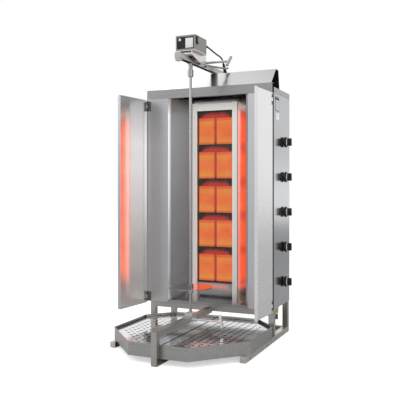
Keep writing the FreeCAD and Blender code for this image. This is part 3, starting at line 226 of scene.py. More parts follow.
def build_effects():
    """The effects that several finishes share."""
    # Fine parallel lines of a brushed or drawn surface, long along the small number of Stretch
    tree, given, result = effect("Brushed Grain", [("Stretch", "NodeSocketVector", (4, 500, 500))],
                                 [("Height", "NodeSocketFloat"), ("Streak", "NodeSocketFloat")])
    along = stretched(tree, given.outputs["Stretch"])
    fine = noise(tree, along, 1.0, 3.0, 0.6)
    broad = noise(tree, along, 0.16, 2.0)
    mixed = total(tree, product(tree, fine, 0.5), product(tree, broad, 0.5))
    feed(tree, result, {"Height": fine, "Streak": spread(tree, mixed, 0.35, 0.65)})

    # Wiped patches, fingerprints and fine stray scratches
    tree, given, result = effect("Handling Marks", [("Amount", "NodeSocketFloat", 1.0)],
                                 [("Smudge", "NodeSocketFloat"), ("Scratch", "NodeSocketFloat")])
    spot = places(tree)
    wiped = spread(tree, noise(tree, spot, 7.0, 4.0, 0.6), 0.42, 0.68)
    prints = spread(tree, noise(tree, spot, 46.0, 3.0, 0.7), 0.55, 0.75, 0.0, 0.6)
    smudge = product(tree, maths(tree, "MAXIMUM", wiped, prints), given.outputs["Amount"], clamp=True)
    warped = add(tree, "ShaderNodeTexNoise", {"Vector": spot, "Scale": 3.0, "Detail": 2.0})
    bent = add(tree, "ShaderNodeVectorMath", {0: spot, 1: warped.outputs["Color"], 2: (0.35, 0.35, 0.35)},
               operation="MULTIPLY_ADD").outputs[0]
    lines = add(tree, "ShaderNodeTexVoronoi", {"Vector": bent, "Scale": 17.0}, feature="DISTANCE_TO_EDGE")
    thin = spread(tree, lines.outputs[0], 0.0, 0.006, 1.0, 0.0)
    scratch = product(tree, thin, given.outputs["Amount"], clamp=True)
    feed(tree, result, {"Smudge": smudge, "Scratch": scratch})

    # Grease and dust that settle low on the grill, with painted shade: darker towards the bottom, as on the
    # pan floor under the grates
    tree, given, result = effect("Low Grime And Shade", [("Height", "NodeSocketFloat", 0.12)],
                                 [("Mask", "NodeSocketFloat")])
    spot = places(tree)
    axes = axes_of(tree, spot)
    low = spread(tree, axes["Z"], 0.0, given.outputs["Height"], 1.0, 0.0)
    spots = spread(tree, noise(tree, spot, 30.0, 5.0, 0.7), 0.46, 0.72)
    feed(tree, result, {"Mask": product(tree, low, spots, clamp=True)})

    # Pitted skin of cast metal, moulded plastic and fired clay
    tree, given, result = effect("Pitted Skin", [("Size", "NodeSocketFloat", 900.0)],
                                 [("Height", "NodeSocketFloat"), ("Mottle", "NodeSocketFloat")])
    spot = places(tree)
    feed(tree, result, {"Height": noise(tree, spot, given.outputs["Size"], 3.0, 0.6),
                        "Mottle": spread(tree, noise(tree, spot, 24.0, 4.0, 0.6), 0.35, 0.68)})


def place_effect(tree, name, sockets):
    return add(tree, "ShaderNodeGroup", sockets, node_tree=bpy.data.node_groups[name]).outputs


def new_material(name):
    """A material with its shader and tree."""
    material = bpy.data.materials.new(name)
    material.use_nodes = True
    tree = material.node_tree
    return material, tree, tree.nodes["Principled BSDF"]


def relief(tree, height, strength, distance):
    """Fine relief from a height, for the Normal of a shader."""
    bump = add(tree, "ShaderNodeBump", {"Strength": strength, "Distance": distance, "Height": height})
    return bump.outputs[0]


def tinted(colour, share):
    return tuple(channel * share for channel in colour[:3]) + (1.0,)


# Finishes


def steel(name, tone, roughness, stretch, bump, marks, grime_and_shade=0.0, sweep=0.0, metal=1.0, streak=0.045,
          bands=()):
    """Stainless steel: grain, wiped patches, stray scratches, and grease with painted shade low down where
    asked.

    Sweep draws reflections out up and down, as level brushing does on an upright sheet. Each band is an axis,
    the two places that it fades between, and the tone it fades to, and a later band lies over an earlier one.
    Most bands paint light, shade and reflections into the tone.
    """
    material, tree, shader = new_material(name)
    grain = place_effect(tree, "Brushed Grain", {"Stretch": stretch})
    marked = place_effect(tree, "Handling Marks", {"Amount": marks})
    axes = axes_of(tree, places(tree))
    shade = tone
    for axis, start, end, other in bands:
        shade = blended(tree, spread(tree, axes[axis], start, end), shade, other)
    lines = blended(tree, grain["Streak"], tinted((1, 1, 1), 1 - streak), tinted((1, 1, 1), 1 + streak))
    colour = blended(tree, 1.0, shade, lines, "MULTIPLY")
    wander = 0.6 * streak
    rough = total(tree, spread(tree, grain["Streak"], 0.0, 1.0, roughness - wander, roughness + wander),
                  product(tree, marked["Smudge"], 0.05))
    # Darker towards the bottom: partly grease and dust, partly painted shade
    if grime_and_shade:
        dirt_and_shade = place_effect(tree, "Low Grime And Shade", {"Height": grime_and_shade})
        colour = blended(tree, product(tree, dirt_and_shade["Mask"], 0.5), colour, GREASE_AND_SHADE)
        rough = total(tree, rough, product(tree, dirt_and_shade["Mask"], 0.2))
    colour = blended(tree, product(tree, marked["Smudge"], 0.10), colour, WIPED, "MULTIPLY")
    height = difference(tree, grain["Height"], product(tree, marked["Scratch"], 0.6))
    feed(tree, shader, {"Base Color": colour, "Roughness": rough, "Metallic": metal, "Anisotropic": sweep,
                        "Anisotropic Rotation": 0.25, "Normal": relief(tree, height, 0.35, bump)})
    return material


# How fine the grain is along X, Y and Z, in lines a metre
ALONG_X, ALONG_Y, ALONG_Z = (5, 700, 700), (700, 5, 700), (700, 700, 5)
LEVEL = (5, 5, 700)
TURNED = (60, 60, 900)

# Foot of the lowest burner and height of one burner
BURNER_FOOT, BURNER_PITCH = 0.22705, 0.1629
# Middle of a tile, half of its height as a share of a burner, and half the width of the glowing column
TILE_MIDDLE, TILE_SHARE, COLUMN_HALF = 0.0455, 0.35, 0.086
# Between which two places the parts of the column fade: across, from the middle, and then up and down
TILE_RIM, TILE_SEAM = (0.0355, 0.0400), (0.0045, 0.0070)
FIRE_FOOT, FIRE_HEAD = (0.20, 0.22), (1.060, 1.075)
BARE_FOOT, BARE_HEAD = (0.238, 0.232), (1.080, 1.090)

# Where the tone of a sheet changes: an axis and the two places that it fades between. All but the inlet's
# bands paint light, shade and reflections into a sheet's tone
# PANEL_MIDDLE and PANEL_FOOT paint a lighter band of reflection across the middle of the side panels, and
# STILE_FACE paints the front face of the stiles lighter, as lit
PANEL_MIDDLE, PANEL_FOOT, STILE_FACE = ("Z", 0.85, 0.68), ("Z", 0.58, 0.40), ("Y", 0.187, 0.183)
# WING_HEAD paints shade at the head of the left wing, and WING_FLANGE a bluish painted reflection on its
# flange
WING_HEAD, WING_FLANGE = ("Z", 0.90, 1.10), ("X", -0.3368, -0.3376)
# HOOD_RIGHT paints the hood darker towards its right end, as shade
HOOD_RIGHT = ("X", -0.16, 0.08)
# On the reflectors, BEHIND_FOLD paints a darker reflection behind the fold, BESIDE_FIRE a reddish painted
# reflection of the fire with some heat tint, and CHAMBER_HEAD painted shade at the head of the chamber
BEHIND_FOLD, BESIDE_FIRE, CHAMBER_HEAD = ("X", -0.1955, -0.1945), ("X", 0.112, 0.116), ("Z", 1.03, 1.10)
# LEFT_FRONT takes that painted shade off the left front sheet, and RIGHT_FRONT paints the right front sheet
# lighter, as lit
LEFT_FRONT, RIGHT_FRONT = ("X", -0.2004, -0.2008), ("X", 0.1900, 0.1910)
INLET_BODY, INLET_NUT = ("Z", 0.1045, 0.1035), ("Z", 0.0965, 0.0955)

# The grease tone also serves as painted shade low on the grill
BLACK, GREASE_AND_SHADE, WIPED = (0, 0, 0, 1), (0.12, 0.10, 0.08, 1), (0.75, 0.75, 0.75, 1)
FIRELIGHT = (1.0, 0.075, 0.025)


def burner_row(tree, height):
    """Where a point lies within its burner, from 0 at the foot of the burner to 1 at its head."""
    return maths(tree, "FRACT", maths(tree, "DIVIDE", difference(tree, height, BURNER_FOOT), BURNER_PITCH))


def ceramic(glow, ember, strength):
    """Glowing ceramic with its field of fine holes, yellower near head and foot and redder along its rim."""
    material, tree, shader = new_material("Glowing Ceramic")
    spot = places(tree)
    axes = axes_of(tree, spot)
    rise = maths(tree, "DIVIDE", difference(tree, burner_row(tree, axes["Z"]), 0.5), TILE_SHARE)
    across = maths(tree, "ABSOLUTE", axes["X"])
    from_middle = maths(tree, "ABSOLUTE", difference(tree, across, TILE_MIDDLE))
    uneven = noise(tree, spot, 11.0, 4.0, 0.55)
    # The hottest, yellowest parts lie towards head and foot, and the middle is redder
    hot = spread(tree, total(tree, maths(tree, "ABSOLUTE", rise), product(tree, uneven, 0.6)), 0.55, 1.15)
    columns = noise(tree, stretched(tree, (320.0, 1.0, 6.0)), 1.0, 1.0)
    hot = product(tree, hot, spread(tree, columns, 0.3, 0.7, 0.55, 1.0))
    warm = blended(tree, spread(tree, uneven, 0.42, 0.62), blended(tree, 0.35, glow, ember), glow)
    glowing = blended(tree, hot, warm, (glow[0] * 0.93, glow[1] * 1.75, glow[2] * 1.0, 1))
    ends = maths(tree, "MAXIMUM", spread(tree, rise, 0.80, 0.92), spread(tree, rise, -0.97, -0.90, 1.0, 0.0))
    rim = maths(tree, "MAXIMUM", spread(tree, from_middle, *TILE_RIM), ends)
    glowing = blended(tree, product(tree, rim, 0.85), glowing, ember)
    grid = stretched(tree, (400.0, 0.0, 400.0))
    holes = add(tree, "ShaderNodeTexVoronoi", {"Vector": grid, "Scale": 1.0, "Randomness": 0.0}, feature="F1")
    pore = spread(tree, holes.outputs[0], 0.22, 0.36, 1.0, 0.0)
    shown = blended(tree, product(tree, pore, 0.25), glowing, tinted(ember, 0.8))
    skin = place_effect(tree, "Pitted Skin", {"Size": 700.0})
    clay = blended(tree, skin["Mottle"], (0.07, 0.035, 0.022, 1), (0.11, 0.06, 0.04, 1))
    height = difference(tree, skin["Height"], pore)
    feed(tree, shader, {"Base Color": clay, "Roughness": 0.9, "Emission Color": shown,
                        "Emission Strength": strength, "Normal": relief(tree, height, 0.6, 0.0006)})
    return material


def firelit_plate(ember):
    """The burner plate: painted red firelight in a lens over each burner and in the seam between tiles, and
    steel at head and foot.
    """
    material, tree, shader = new_material("Firelit Plate")
    spot = places(tree)
    axes = axes_of(tree, spot)
    across = maths(tree, "ABSOLUTE", axes["X"])
    row = burner_row(tree, axes["Z"])
    # The gap over a burner runs from the head of its tiles to the foot of the next
    above_tile = maths(tree, "FRACT", difference(tree, row, 0.5 + TILE_SHARE))
    gap = maths(tree, "DIVIDE", above_tile, 1 - 2 * TILE_SHARE)
    ragged = product(tree, noise(tree, spot, 60.0, 4.0, 0.6), 0.16)
    arch = difference(tree, 1.0, maths(tree, "POWER", maths(tree, "DIVIDE", across, COLUMN_HALF), 4.0))
    # Painted firelight: a red lens-shaped glow over the gap above each burner's tiles
    lens = spread(tree, difference(tree, product(tree, arch, 0.66), total(tree, gap, ragged)), -0.14, 0.22)
    seam = spread(tree, across, *TILE_SEAM, 1.0, 0.0)
    inside = spread(tree, across, 0.080, COLUMN_HALF, 1.0, 0.0)
    under = spread(tree, axes["Z"], *FIRE_FOOT)
    over = spread(tree, axes["Z"], *FIRE_HEAD, 1.0, 0.0)
    field = product(tree, inside, product(tree, under, over))
    tile_side = maths(tree, "GREATER_THAN", gap, 1.0)
    over_gap = product(tree, lens, difference(tree, 1.0, tile_side))
    lit = total(tree, over_gap, product(tree, seam, tile_side), clamp=True)
    # The red of the painted firelight, over the gaps and in the seams between tiles
    fire = blended(tree, tile_side, linear(168, 36, 22), tinted(ember, 0.55))
    glowing = blended(tree, product(tree, lit, field), BLACK, fire)
    skin = place_effect(tree, "Pitted Skin", {"Size": 500.0})
    scale = blended(tree, skin["Mottle"], (0.018, 0.014, 0.012, 1), (0.050, 0.040, 0.034, 1))
    bare = maths(tree, "MAXIMUM", spread(tree, axes["Z"], *BARE_HEAD), spread(tree, axes["Z"], *BARE_FOOT))
    wiped = place_effect(tree, "Handling Marks", {"Amount": 0.8})
    plain = blended(tree, wiped["Smudge"], (0.38, 0.38, 0.38, 1), (0.29, 0.285, 0.28, 1))
    rough = product(tree, spread(tree, skin["Mottle"], 0, 1, 0.45, 0.62), spread(tree, bare, 0, 1, 1.0, 0.28))
    feed(tree, shader, {"Base Color": blended(tree, bare, scale, plain), "Roughness": rough,
                        "Metallic": spread(tree, bare, 0, 1, 0.35, 1.0), "Emission Color": glowing,
                        "Emission Strength": 1.0, "Normal": relief(tree, skin["Height"], 0.4, 0.0002)})
    return material


def moulded(name, dark, light, roughness):
    """Moulded plastic or rubber with a fine sparked skin and pale stray scratches."""
    material, tree, shader = new_material(name)
    skin = place_effect(tree, "Pitted Skin", {"Size": 1400.0})
    marked = place_effect(tree, "Handling Marks", {"Amount": 0.8})
    colour = blended(tree, skin["Mottle"], dark, light)
    colour = blended(tree, product(tree, marked["Scratch"], 0.35), colour, tinted(light, 2.0))
    rough = total(tree, spread(tree, skin["Mottle"], 0, 1, roughness - 0.04, roughness + 0.05),
                  product(tree, marked["Smudge"], 0.1))
    feed(tree, shader, {"Base Color": colour, "Roughness": rough, "Specular IOR Level": 0.25,
                        "Normal": relief(tree, skin["Height"], 0.25, 0.0002)})
    return material


def cast(name, dark, light, roughness, metallic):
    """Cast or machined metal with a mottled, slightly pitted skin."""
    material, tree, shader = new_material(name)
    skin = place_effect(tree, "Pitted Skin", {"Size": 500.0})
    marked = place_effect(tree, "Handling Marks", {"Amount": 0.7})
    colour = blended(tree, skin["Mottle"], dark, light)
    colour = blended(tree, product(tree, marked["Smudge"], 0.25), colour, tinted(dark, 0.7))
    rough = total(tree, spread(tree, skin["Mottle"], 0, 1, roughness - 0.06, roughness + 0.06),
                  product(tree, marked["Smudge"], 0.12))
    feed(tree, shader, {"Base Color": colour, "Roughness": rough, "Metallic": metallic,
                        "Normal": relief(tree, skin["Height"], 0.4, 0.0004)})
    return material


FINISH_OF = {
    "polished_panel": ("side_panel_right", "side_panel_left"),
    "brushed_panel": ("back_panel", "top_cover", "cabinet_floor"),
    "wing_inside": ("wing_left",),
    "wing_outside": ("wing_right",),
    "lintel_band": ("lintel",),
    "hood_sheet": ("hood",),
    "pan_sheet": ("drip_pan",),
    "tube_along": ("spit_beam", "top_arm", "arm_end_stop"),
    "rail": ("floor_rails",),
    "tube_across": ("front_crossbar",),
    "tube_upright": ("legs", "front_post", "arm_post"),
    "pale_upright": ("burner_uprights",),
    "firelit_plate": ("burner_plate",),
    "reflector_with_painted_light": ("reflector_left", "reflector_right"),
    "bright_bar": ("lower_clamp_screw",),
    "sleeve": ("drive_sleeve",),
    "turned_bar": ("upper_clamp_screw", "disc_clip", "lock_lever",
                   *(f"tap_spindle_{number}" for number in TAPS)),
    "spit_steel": ("spit_rod",),
    "turned_disc": ("meat_disc",),
    "hinge_steel": ("frame_hinges", "rear_hook"),
    "carriage_steel": ("motor_saddle", "lower_carriage"),
    "box_steel": ("motor_cover",),
    "cast_iron": ("burner_housings",),
    "pipe": ("burner_feeds", "gas_manifold"),
    "brass": ("gas_taps",),
    "inlet": ("gas_inlet",),
    "die_cast": ("gearmotor",),
    "black_plastic": ("switch_body", "socket", "plug", "strain_relief",
                      *(f"knob_{number}" for number in TAPS)),
    "rocker": ("rocker_switch",),
    "tile": ("burner_tiles",),
    "dark_plate": ("motor_front_plate",),
    "rubber": ("cable",),
}


def build_finishes(sheet, fire):
    polished, brushed, satin = tuple(sheet.polished), tuple(sheet.brushed), tuple(sheet.satin)
    polish, brush = sheet.polish_roughness, sheet.brush_roughness
    warm = (satin[0] * 1.05, satin[1], satin[2] * 0.94, 1)
    return {
        "polished_panel": steel("Polished Panel", polished, polish + 0.08, ALONG_Z, 0.00001, 0.25,
                                streak=0.02, bands=(
                                    # Painted reflection: a lighter band across the middle of the panel;
                                    # painted light: a lighter front face on the stiles
                                    (*PANEL_MIDDLE, tinted(polished, 1.42)),
                                    (*PANEL_FOOT, polished),
                                    (*STILE_FACE, tinted(polished, 1.25)))),
        "brushed_panel": steel("Brushed Panel", tinted(polished, 0.75), brush, ALONG_X, 0.00004, 0.6),
        "wing_outside": steel("Wing Outside", brushed, brush, LEVEL, 0.000001, 0.08, sweep=0.6, streak=0.010),
        # The left wing is the wing steel made warmer and part diffuse as painted light, with painted shade at
        # its head and a bluish painted reflection on its flange
        "wing_inside": steel("Wing Inside", (0.74, 0.71, 0.68, 1), 0.19, LEVEL, 0.000001, 0.08, sweep=0.85,
                             metal=0.85, streak=0.012, bands=(
                                 (*WING_HEAD, (0.40, 0.395, 0.39, 1)),
                                 (*WING_FLANGE, (0.40, 0.44, 0.48, 1)))),
        "lintel_band": steel("Lintel Band", tinted(polished, 0.74), brush, ALONG_X, 0.00004, 0.6),
        # Painted shade: the hood darkens towards its right end
        "hood_sheet": steel("Hood Sheet", brushed, 0.22, ALONG_X, 0.00001, 0.2, streak=0.02, bands=(
            (*HOOD_RIGHT, tinted(brushed, 0.43)),)),
        # The pan floor darkens as painted shade under the grates, and with grease
        "pan_sheet": steel("Pan Sheet", satin, brush, ALONG_X, 0.00003, 0.7, grime_and_shade=0.05),
        # The tubes are one satin steel in lit and shaded tones, as painted light: lightest on the floor
        # rails, then the beam and arm, the uprights and the crossbar
        "tube_along": steel("Tube Along", tinted(warm, 1.12), 0.33, ALONG_Y, 0.00005, 0.9),
        "rail": steel("Floor Rail", tinted(warm, 1.6), 0.31, ALONG_Y, 0.00005, 0.9, grime_and_shade=0.05),
        "tube_across": steel("Tube Across", warm, 0.33, ALONG_X, 0.00006, 0.9),
        "tube_upright": steel("Tube Upright", tinted(warm, 1.05), 0.33, ALONG_Z, 0.00006, 0.9, grime_and_shade=0.05),
        "pale_upright": steel("Pale Upright", (0.84, 0.82, 0.79, 1), 0.42, ALONG_Z, 0.00004, 0.5),
        "firelit_plate": firelit_plate(tuple(fire.ember)),
        # Painted light and shade on the reflectors: a darker reflection behind the fold, a reddish reflection
        # of the fire with some heat tint, shade at the chamber's head, and a lighter right front sheet
        "reflector_with_painted_light": steel("Reflector With Painted Light", tinted(polished, 1.12), 0.25, LEVEL, 0.000001, 0.08,
                                  sweep=0.5, streak=0.012, bands=(
                                      (*BEHIND_FOLD, tinted(polished, 0.66)),
                                      (*BESIDE_FIRE, (0.52, 0.35, 0.30, 1)),
                                      (*CHAMBER_HEAD, (0.20, 0.17, 0.16, 1)),
                                      (*LEFT_FRONT, tinted(polished, 1.12)),
                                      (*RIGHT_FRONT, tinted(polished, 1.32)))),
        "turned_bar": steel("Turned Bar", satin, 0.24, TURNED, 0.00001, 0.5),
        "sleeve": steel("Drive Sleeve", tinted(satin, 0.75), 0.26, TURNED, 0.00001, 0.5),
        "bright_bar": steel("Bright Bar", brushed, 0.24, TURNED, 0.00001, 0.5),
        "spit_steel": steel("Spit Steel", tinted(brushed, 0.44), 0.28, TURNED, 0.00001, 0.4),
        "turned_disc": steel("Turned Disc", tinted(satin, 0.62), 0.20, (260, 260, 260), 0.00002, 0.9),
        "hinge_steel": steel("Hinge Steel", tinted(satin, 0.32), 0.42, ALONG_Z, 0.00006, 0.7),
        "carriage_steel": steel("Carriage Steel", tinted(brushed, 0.85), 0.28, ALONG_Y, 0.00004, 0.5),
        "box_steel": steel("Box Steel", (0.25, 0.25, 0.235, 1), 0.38, (500, 500, 500), 0.00008, 0.4),
        "inlet": steel("Gas Inlet", (0.70, 0.47, 0.20, 1), 0.30, TURNED, 0.00002, 0.5, bands=(
            (*INLET_BODY, (0.84, 0.83, 0.80, 1)), (*INLET_NUT, (0.13, 0.13, 0.12, 1)))),
        "cast_iron": cast("Cast Iron", (0.05, 0.045, 0.04, 1), (0.11, 0.095, 0.085, 1), 0.7, 0.6),
        "pipe": cast("Drawn Pipe", (0.45, 0.44, 0.43, 1), (0.56, 0.55, 0.54, 1), 0.35, 1.0),
        "brass": cast("Brass", (0.62, 0.42, 0.16, 1), (0.76, 0.55, 0.25, 1), 0.3, 1.0),
        "die_cast": cast("Die Cast", (0.34, 0.34, 0.35, 1), (0.45, 0.45, 0.46, 1), 0.5, 0.9),
        "black_plastic": moulded("Black Plastic", (0.006, 0.006, 0.0065, 1), (0.013, 0.013, 0.0135, 1), 0.42),
        "rocker": moulded("Rocker Plastic", (0.008, 0.008, 0.008, 1), (0.016, 0.016, 0.016, 1), 0.25),
        "tile": ceramic(tuple(fire.glow), tuple(fire.ember), fire.strength),
        "dark_plate": moulded("Dark Plate", (0.006, 0.007, 0.009, 1), (0.020, 0.021, 0.026, 1), 0.22),
        "rubber": moulded("Rubber Sheath", (0.010, 0.010, 0.010, 1), (0.020, 0.020, 0.020, 1), 0.55),
        "pale_plate": moulded("Pale Plate", (0.50, 0.51, 0.52, 1), (0.60, 0.61, 0.62, 1), 0.35),
        "white_plate": moulded("White Plate", (0.80, 0.80, 0.80, 1), (0.90, 0.90, 0.90, 1), 0.4),
        "mark": moulded("Pointer Enamel", (0.62, 0.62, 0.60, 1), (0.75, 0.75, 0.73, 1), 0.4),
        "knob_face": cast("Knob Face", (0.80, 0.80, 0.81, 1), (0.90, 0.90, 0.91, 1), 0.40, 0.4),
        "grate_sheet": steel("Grate Sheet", brushed, 0.09, (240, 240, 240), 0.00002, 0.9),
    }


FINISHES = {}


# Mesh building


def piece(name, mesh, finish, body, smooth=True):
    """A finished object. It rides on a CAD body where one is given."""
    made = bpy.data.objects.new(name, mesh)
    bpy.context.scene.collection.objects.link(made)
    if not mesh.materials:
        mesh.materials.append(FINISHES[finish])
    if smooth:
        mesh.shade_smooth()
        mesh.set_sharp_from_angle(angle=math.radians(35))
    if body:
        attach(made, body)
    return made


def mesh_of(name, shape):
    mesh = bpy.data.meshes.new(name)
    bmesh.ops.recalc_face_normals(shape, faces=shape.faces)
    shape.to_mesh(mesh)
    shape.free()
    return mesh


def fitting(name, shape, finish, body, replaced=None):
    """A piece that rides on a body and has a slot. It replaces a CAD node where one is given."""
    made = piece(name, mesh_of(name, shape), finish, body)
    if replaced:
        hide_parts(replaced)
    return made


def joined(shape, rings):
    """Faces between neighbouring rings of points. A ring of one point closes an end."""
    for low, high in zip(rings, rings[1:]):
        sides = max(len(low), len(high))
        for step in range(sides):
            after = (step + 1) % sides
            if len(low) == 1:
                shape.faces.new((low[0], high[step], high[after]))
            elif len(high) == 1:
                shape.faces.new((low[step], low[after], high[0]))
            else:
                shape.faces.new((low[step], low[after], high[after], high[step]))


def round_turns(sides):
    return [math.tau * step / sides for step in range(sides)]


def turned(shape, profile, matrix, sides):
    """Turns (radius, along) points about Z. A point on the axis closes an end."""
    rings = []
    for radius, along in profile:
        points = [matrix @ Vector((radius * math.cos(turn), radius * math.sin(turn), along))
                  for turn in (round_turns(sides) if radius else [0])]
        rings.append([shape.verts.new(point) for point in points])
    joined(shape, rings)


def facing(direction):
    """A turn that points Z along a direction."""
    return Vector((0, 0, 1)).rotation_difference(Vector(direction)).to_matrix().to_4x4()


def perforated(name, outline, top, depth, sizes):
    """A folded sheet inside (x, y) corners, with round holes in a square field and a turned-down rim."""
    shape = bmesh.new()
    pitch, radius, sides = sizes.pitch, sizes.hole, 16
    corners = [Vector(point) for point in outline]
    centre = sum(corners, Vector((0, 0))) / len(corners)

    def inside(point, margin):
        for first, second in zip(corners, corners[1:] + corners[:1]):
            along = (second - first).normalized()
            across = Vector((-along.y, along.x))
            if across.dot(centre - first) < 0:
                across = -across
            if across.dot(point - first) < margin:
                return False
        return True

    half = pitch / 2
    corner_of = {}

    def shared(point):
        key = (round(point.x, 5), round(point.y, 5))
        for nudge in ((0, 0), (1e-5, 0), (-1e-5, 0), (0, 1e-5), (0, -1e-5)):
            near = (round(key[0] + nudge[0], 5), round(key[1] + nudge[1], 5))
            if near in corner_of:
                return corner_of[near]
        corner_of[key] = shape.verts.new((point.x, point.y, top))
        return corner_of[key]

    low_x, high_x = min(c.x for c in corners), max(c.x for c in corners)
    low_y, high_y = min(c.y for c in corners), max(c.y for c in corners)
    rows = int((high_y - low_y) / pitch) + 2
    columns = int((high_x - low_x) / pitch) + 2
    spare = ((high_x - low_x) / pitch % 1 * pitch / 2, (high_y - low_y) / pitch % 1 * pitch / 2)
    for row in range(rows):
        for column in range(columns):
            middle = Vector((low_x + spare[0] + pitch * (column + 0.5),
                             low_y + spare[1] + pitch * (row + 0.5)))
            if not inside(middle, half * 1.3 + sizes.border):
                continue
            outer, inner = [], []
            for turn in round_turns(sides):
                way = Vector((math.cos(turn), math.sin(turn)))
                outer.append(shared(middle + way * half / max(abs(way.x), abs(way.y))))
                inner.append(shape.verts.new((*(middle + way * radius), top)))
            for step in range(sides):
                after = (step + 1) % sides
                shape.faces.new((outer[step], outer[after], inner[after], inner[step]))
    bmesh.ops.remove_doubles(shape, verts=shape.verts, dist=2e-5)
    rim = [shape.verts.new((corner.x, corner.y, top)) for corner in corners]
    ring = [shape.edges.new((first, second)) for first, second in zip(rim, rim[1:] + rim[:1])]
    shape.edges.ensure_lookup_table()
    hole_side = 2 * radius * math.sin(math.pi / sides)
    field_edge = [edge for edge in shape.edges if edge.is_boundary and edge not in ring
                  and edge.calc_length() > 1.5 * hole_side]
    bmesh.ops.triangle_fill(shape, use_beauty=True, use_dissolve=False, edges=ring + field_edge)
    low = [shape.verts.new((corner.x, corner.y, top - depth)) for corner in corners]
    for index in range(len(rim)):
        after = (index + 1) % len(rim)
        shape.faces.new((rim[index], rim[after], low[after], low[index]))
    return mesh_of(name, shape)


def thickened(made, gauge):
    """Gives a sheet its thickness, inward from the side that shows."""
    modifier = made.modifiers.new("Gauge", "SOLIDIFY")
    modifier.thickness = gauge
    modifier.offset = -1
    modifier.use_even_offset = True


def evaluated_route(points):
    """Points along the smooth line that has the route as its control points."""
    line = bpy.data.curves.new("Lead Line", "CURVE")
    line.dimensions = "3D"
    spline = line.splines.new("NURBS")
    spline.points.add(len(points) - 1)
    for point, place in zip(spline.points, points):
        point.co = (*place, 1)
    spline.order_u = 3
    spline.use_endpoint_u = True
    spline.resolution_u = 12
    holder = bpy.data.objects.new("Lead Line", line)
    bpy.context.scene.collection.objects.link(holder)
    bpy.context.view_layer.update()
    mesh = bpy.data.meshes.new_from_object(holder)
    walked = [vertex.co.copy() for vertex in mesh.vertices]
    bpy.data.objects.remove(holder)
    bpy.data.meshes.remove(mesh)
    return walked


def tube(name, walked, radius, sides=16):
    """A round sheath along points, without twist."""
    shape = bmesh.new()
    rings = []
    side = Vector((1, 0, 0))
    for index, here in enumerate(walked):
        before = walked[max(index - 1, 0)]
        after = walked[min(index + 1, len(walked) - 1)]
        along = (after - before).normalized()
        side = (side - along * side.dot(along)).normalized()
        up = along.cross(side)
        rings.append([shape.verts.new(here + radius * (side * math.cos(turn) + up * math.sin(turn)))
                      for turn in round_turns(sides)])
    joined(shape, rings)
    shape.faces.new(rings[0])
    shape.faces.new(rings[-1])
    return mesh_of(name, shape)


def pan_heads(name, body, screws, radius):
    """Pan-head screws with a round recess, at (place, direction) pairs."""
    shape = bmesh.new()
    for place, direction in screws:
        matrix = Matrix.Translation(Vector(place)) @ facing(direction)
        dome = ((1, 0.15), (0.86, 0.42), (0.5, 0.58), (0.16, 0.6), (0.16, 0.2), (0, 0.2))
        profile = [(0, -0.0004), (radius, -0.0004)] + [(radius * out, radius * up) for out, up in dome]
        turned(shape, profile, matrix, 20)
    piece(name, mesh_of(name, shape), "turned_bar", body)


def rounded_block(shape, low, high, edge):
    """A block with rounded edges between two corners."""
    made = bmesh.ops.create_cube(shape, size=1.0)["verts"]
    low, high = Vector(low), Vector(high)
    for vertex in made:
        vertex.co = Vector((vertex.co[axis] + 0.5) * (high[axis] - low[axis]) + low[axis]
                           for axis in range(3))
    bmesh.ops.bevel(shape, geom=shape.edges[:], offset=edge, segments=3, profile=0.6, affect="EDGES")


# Operators


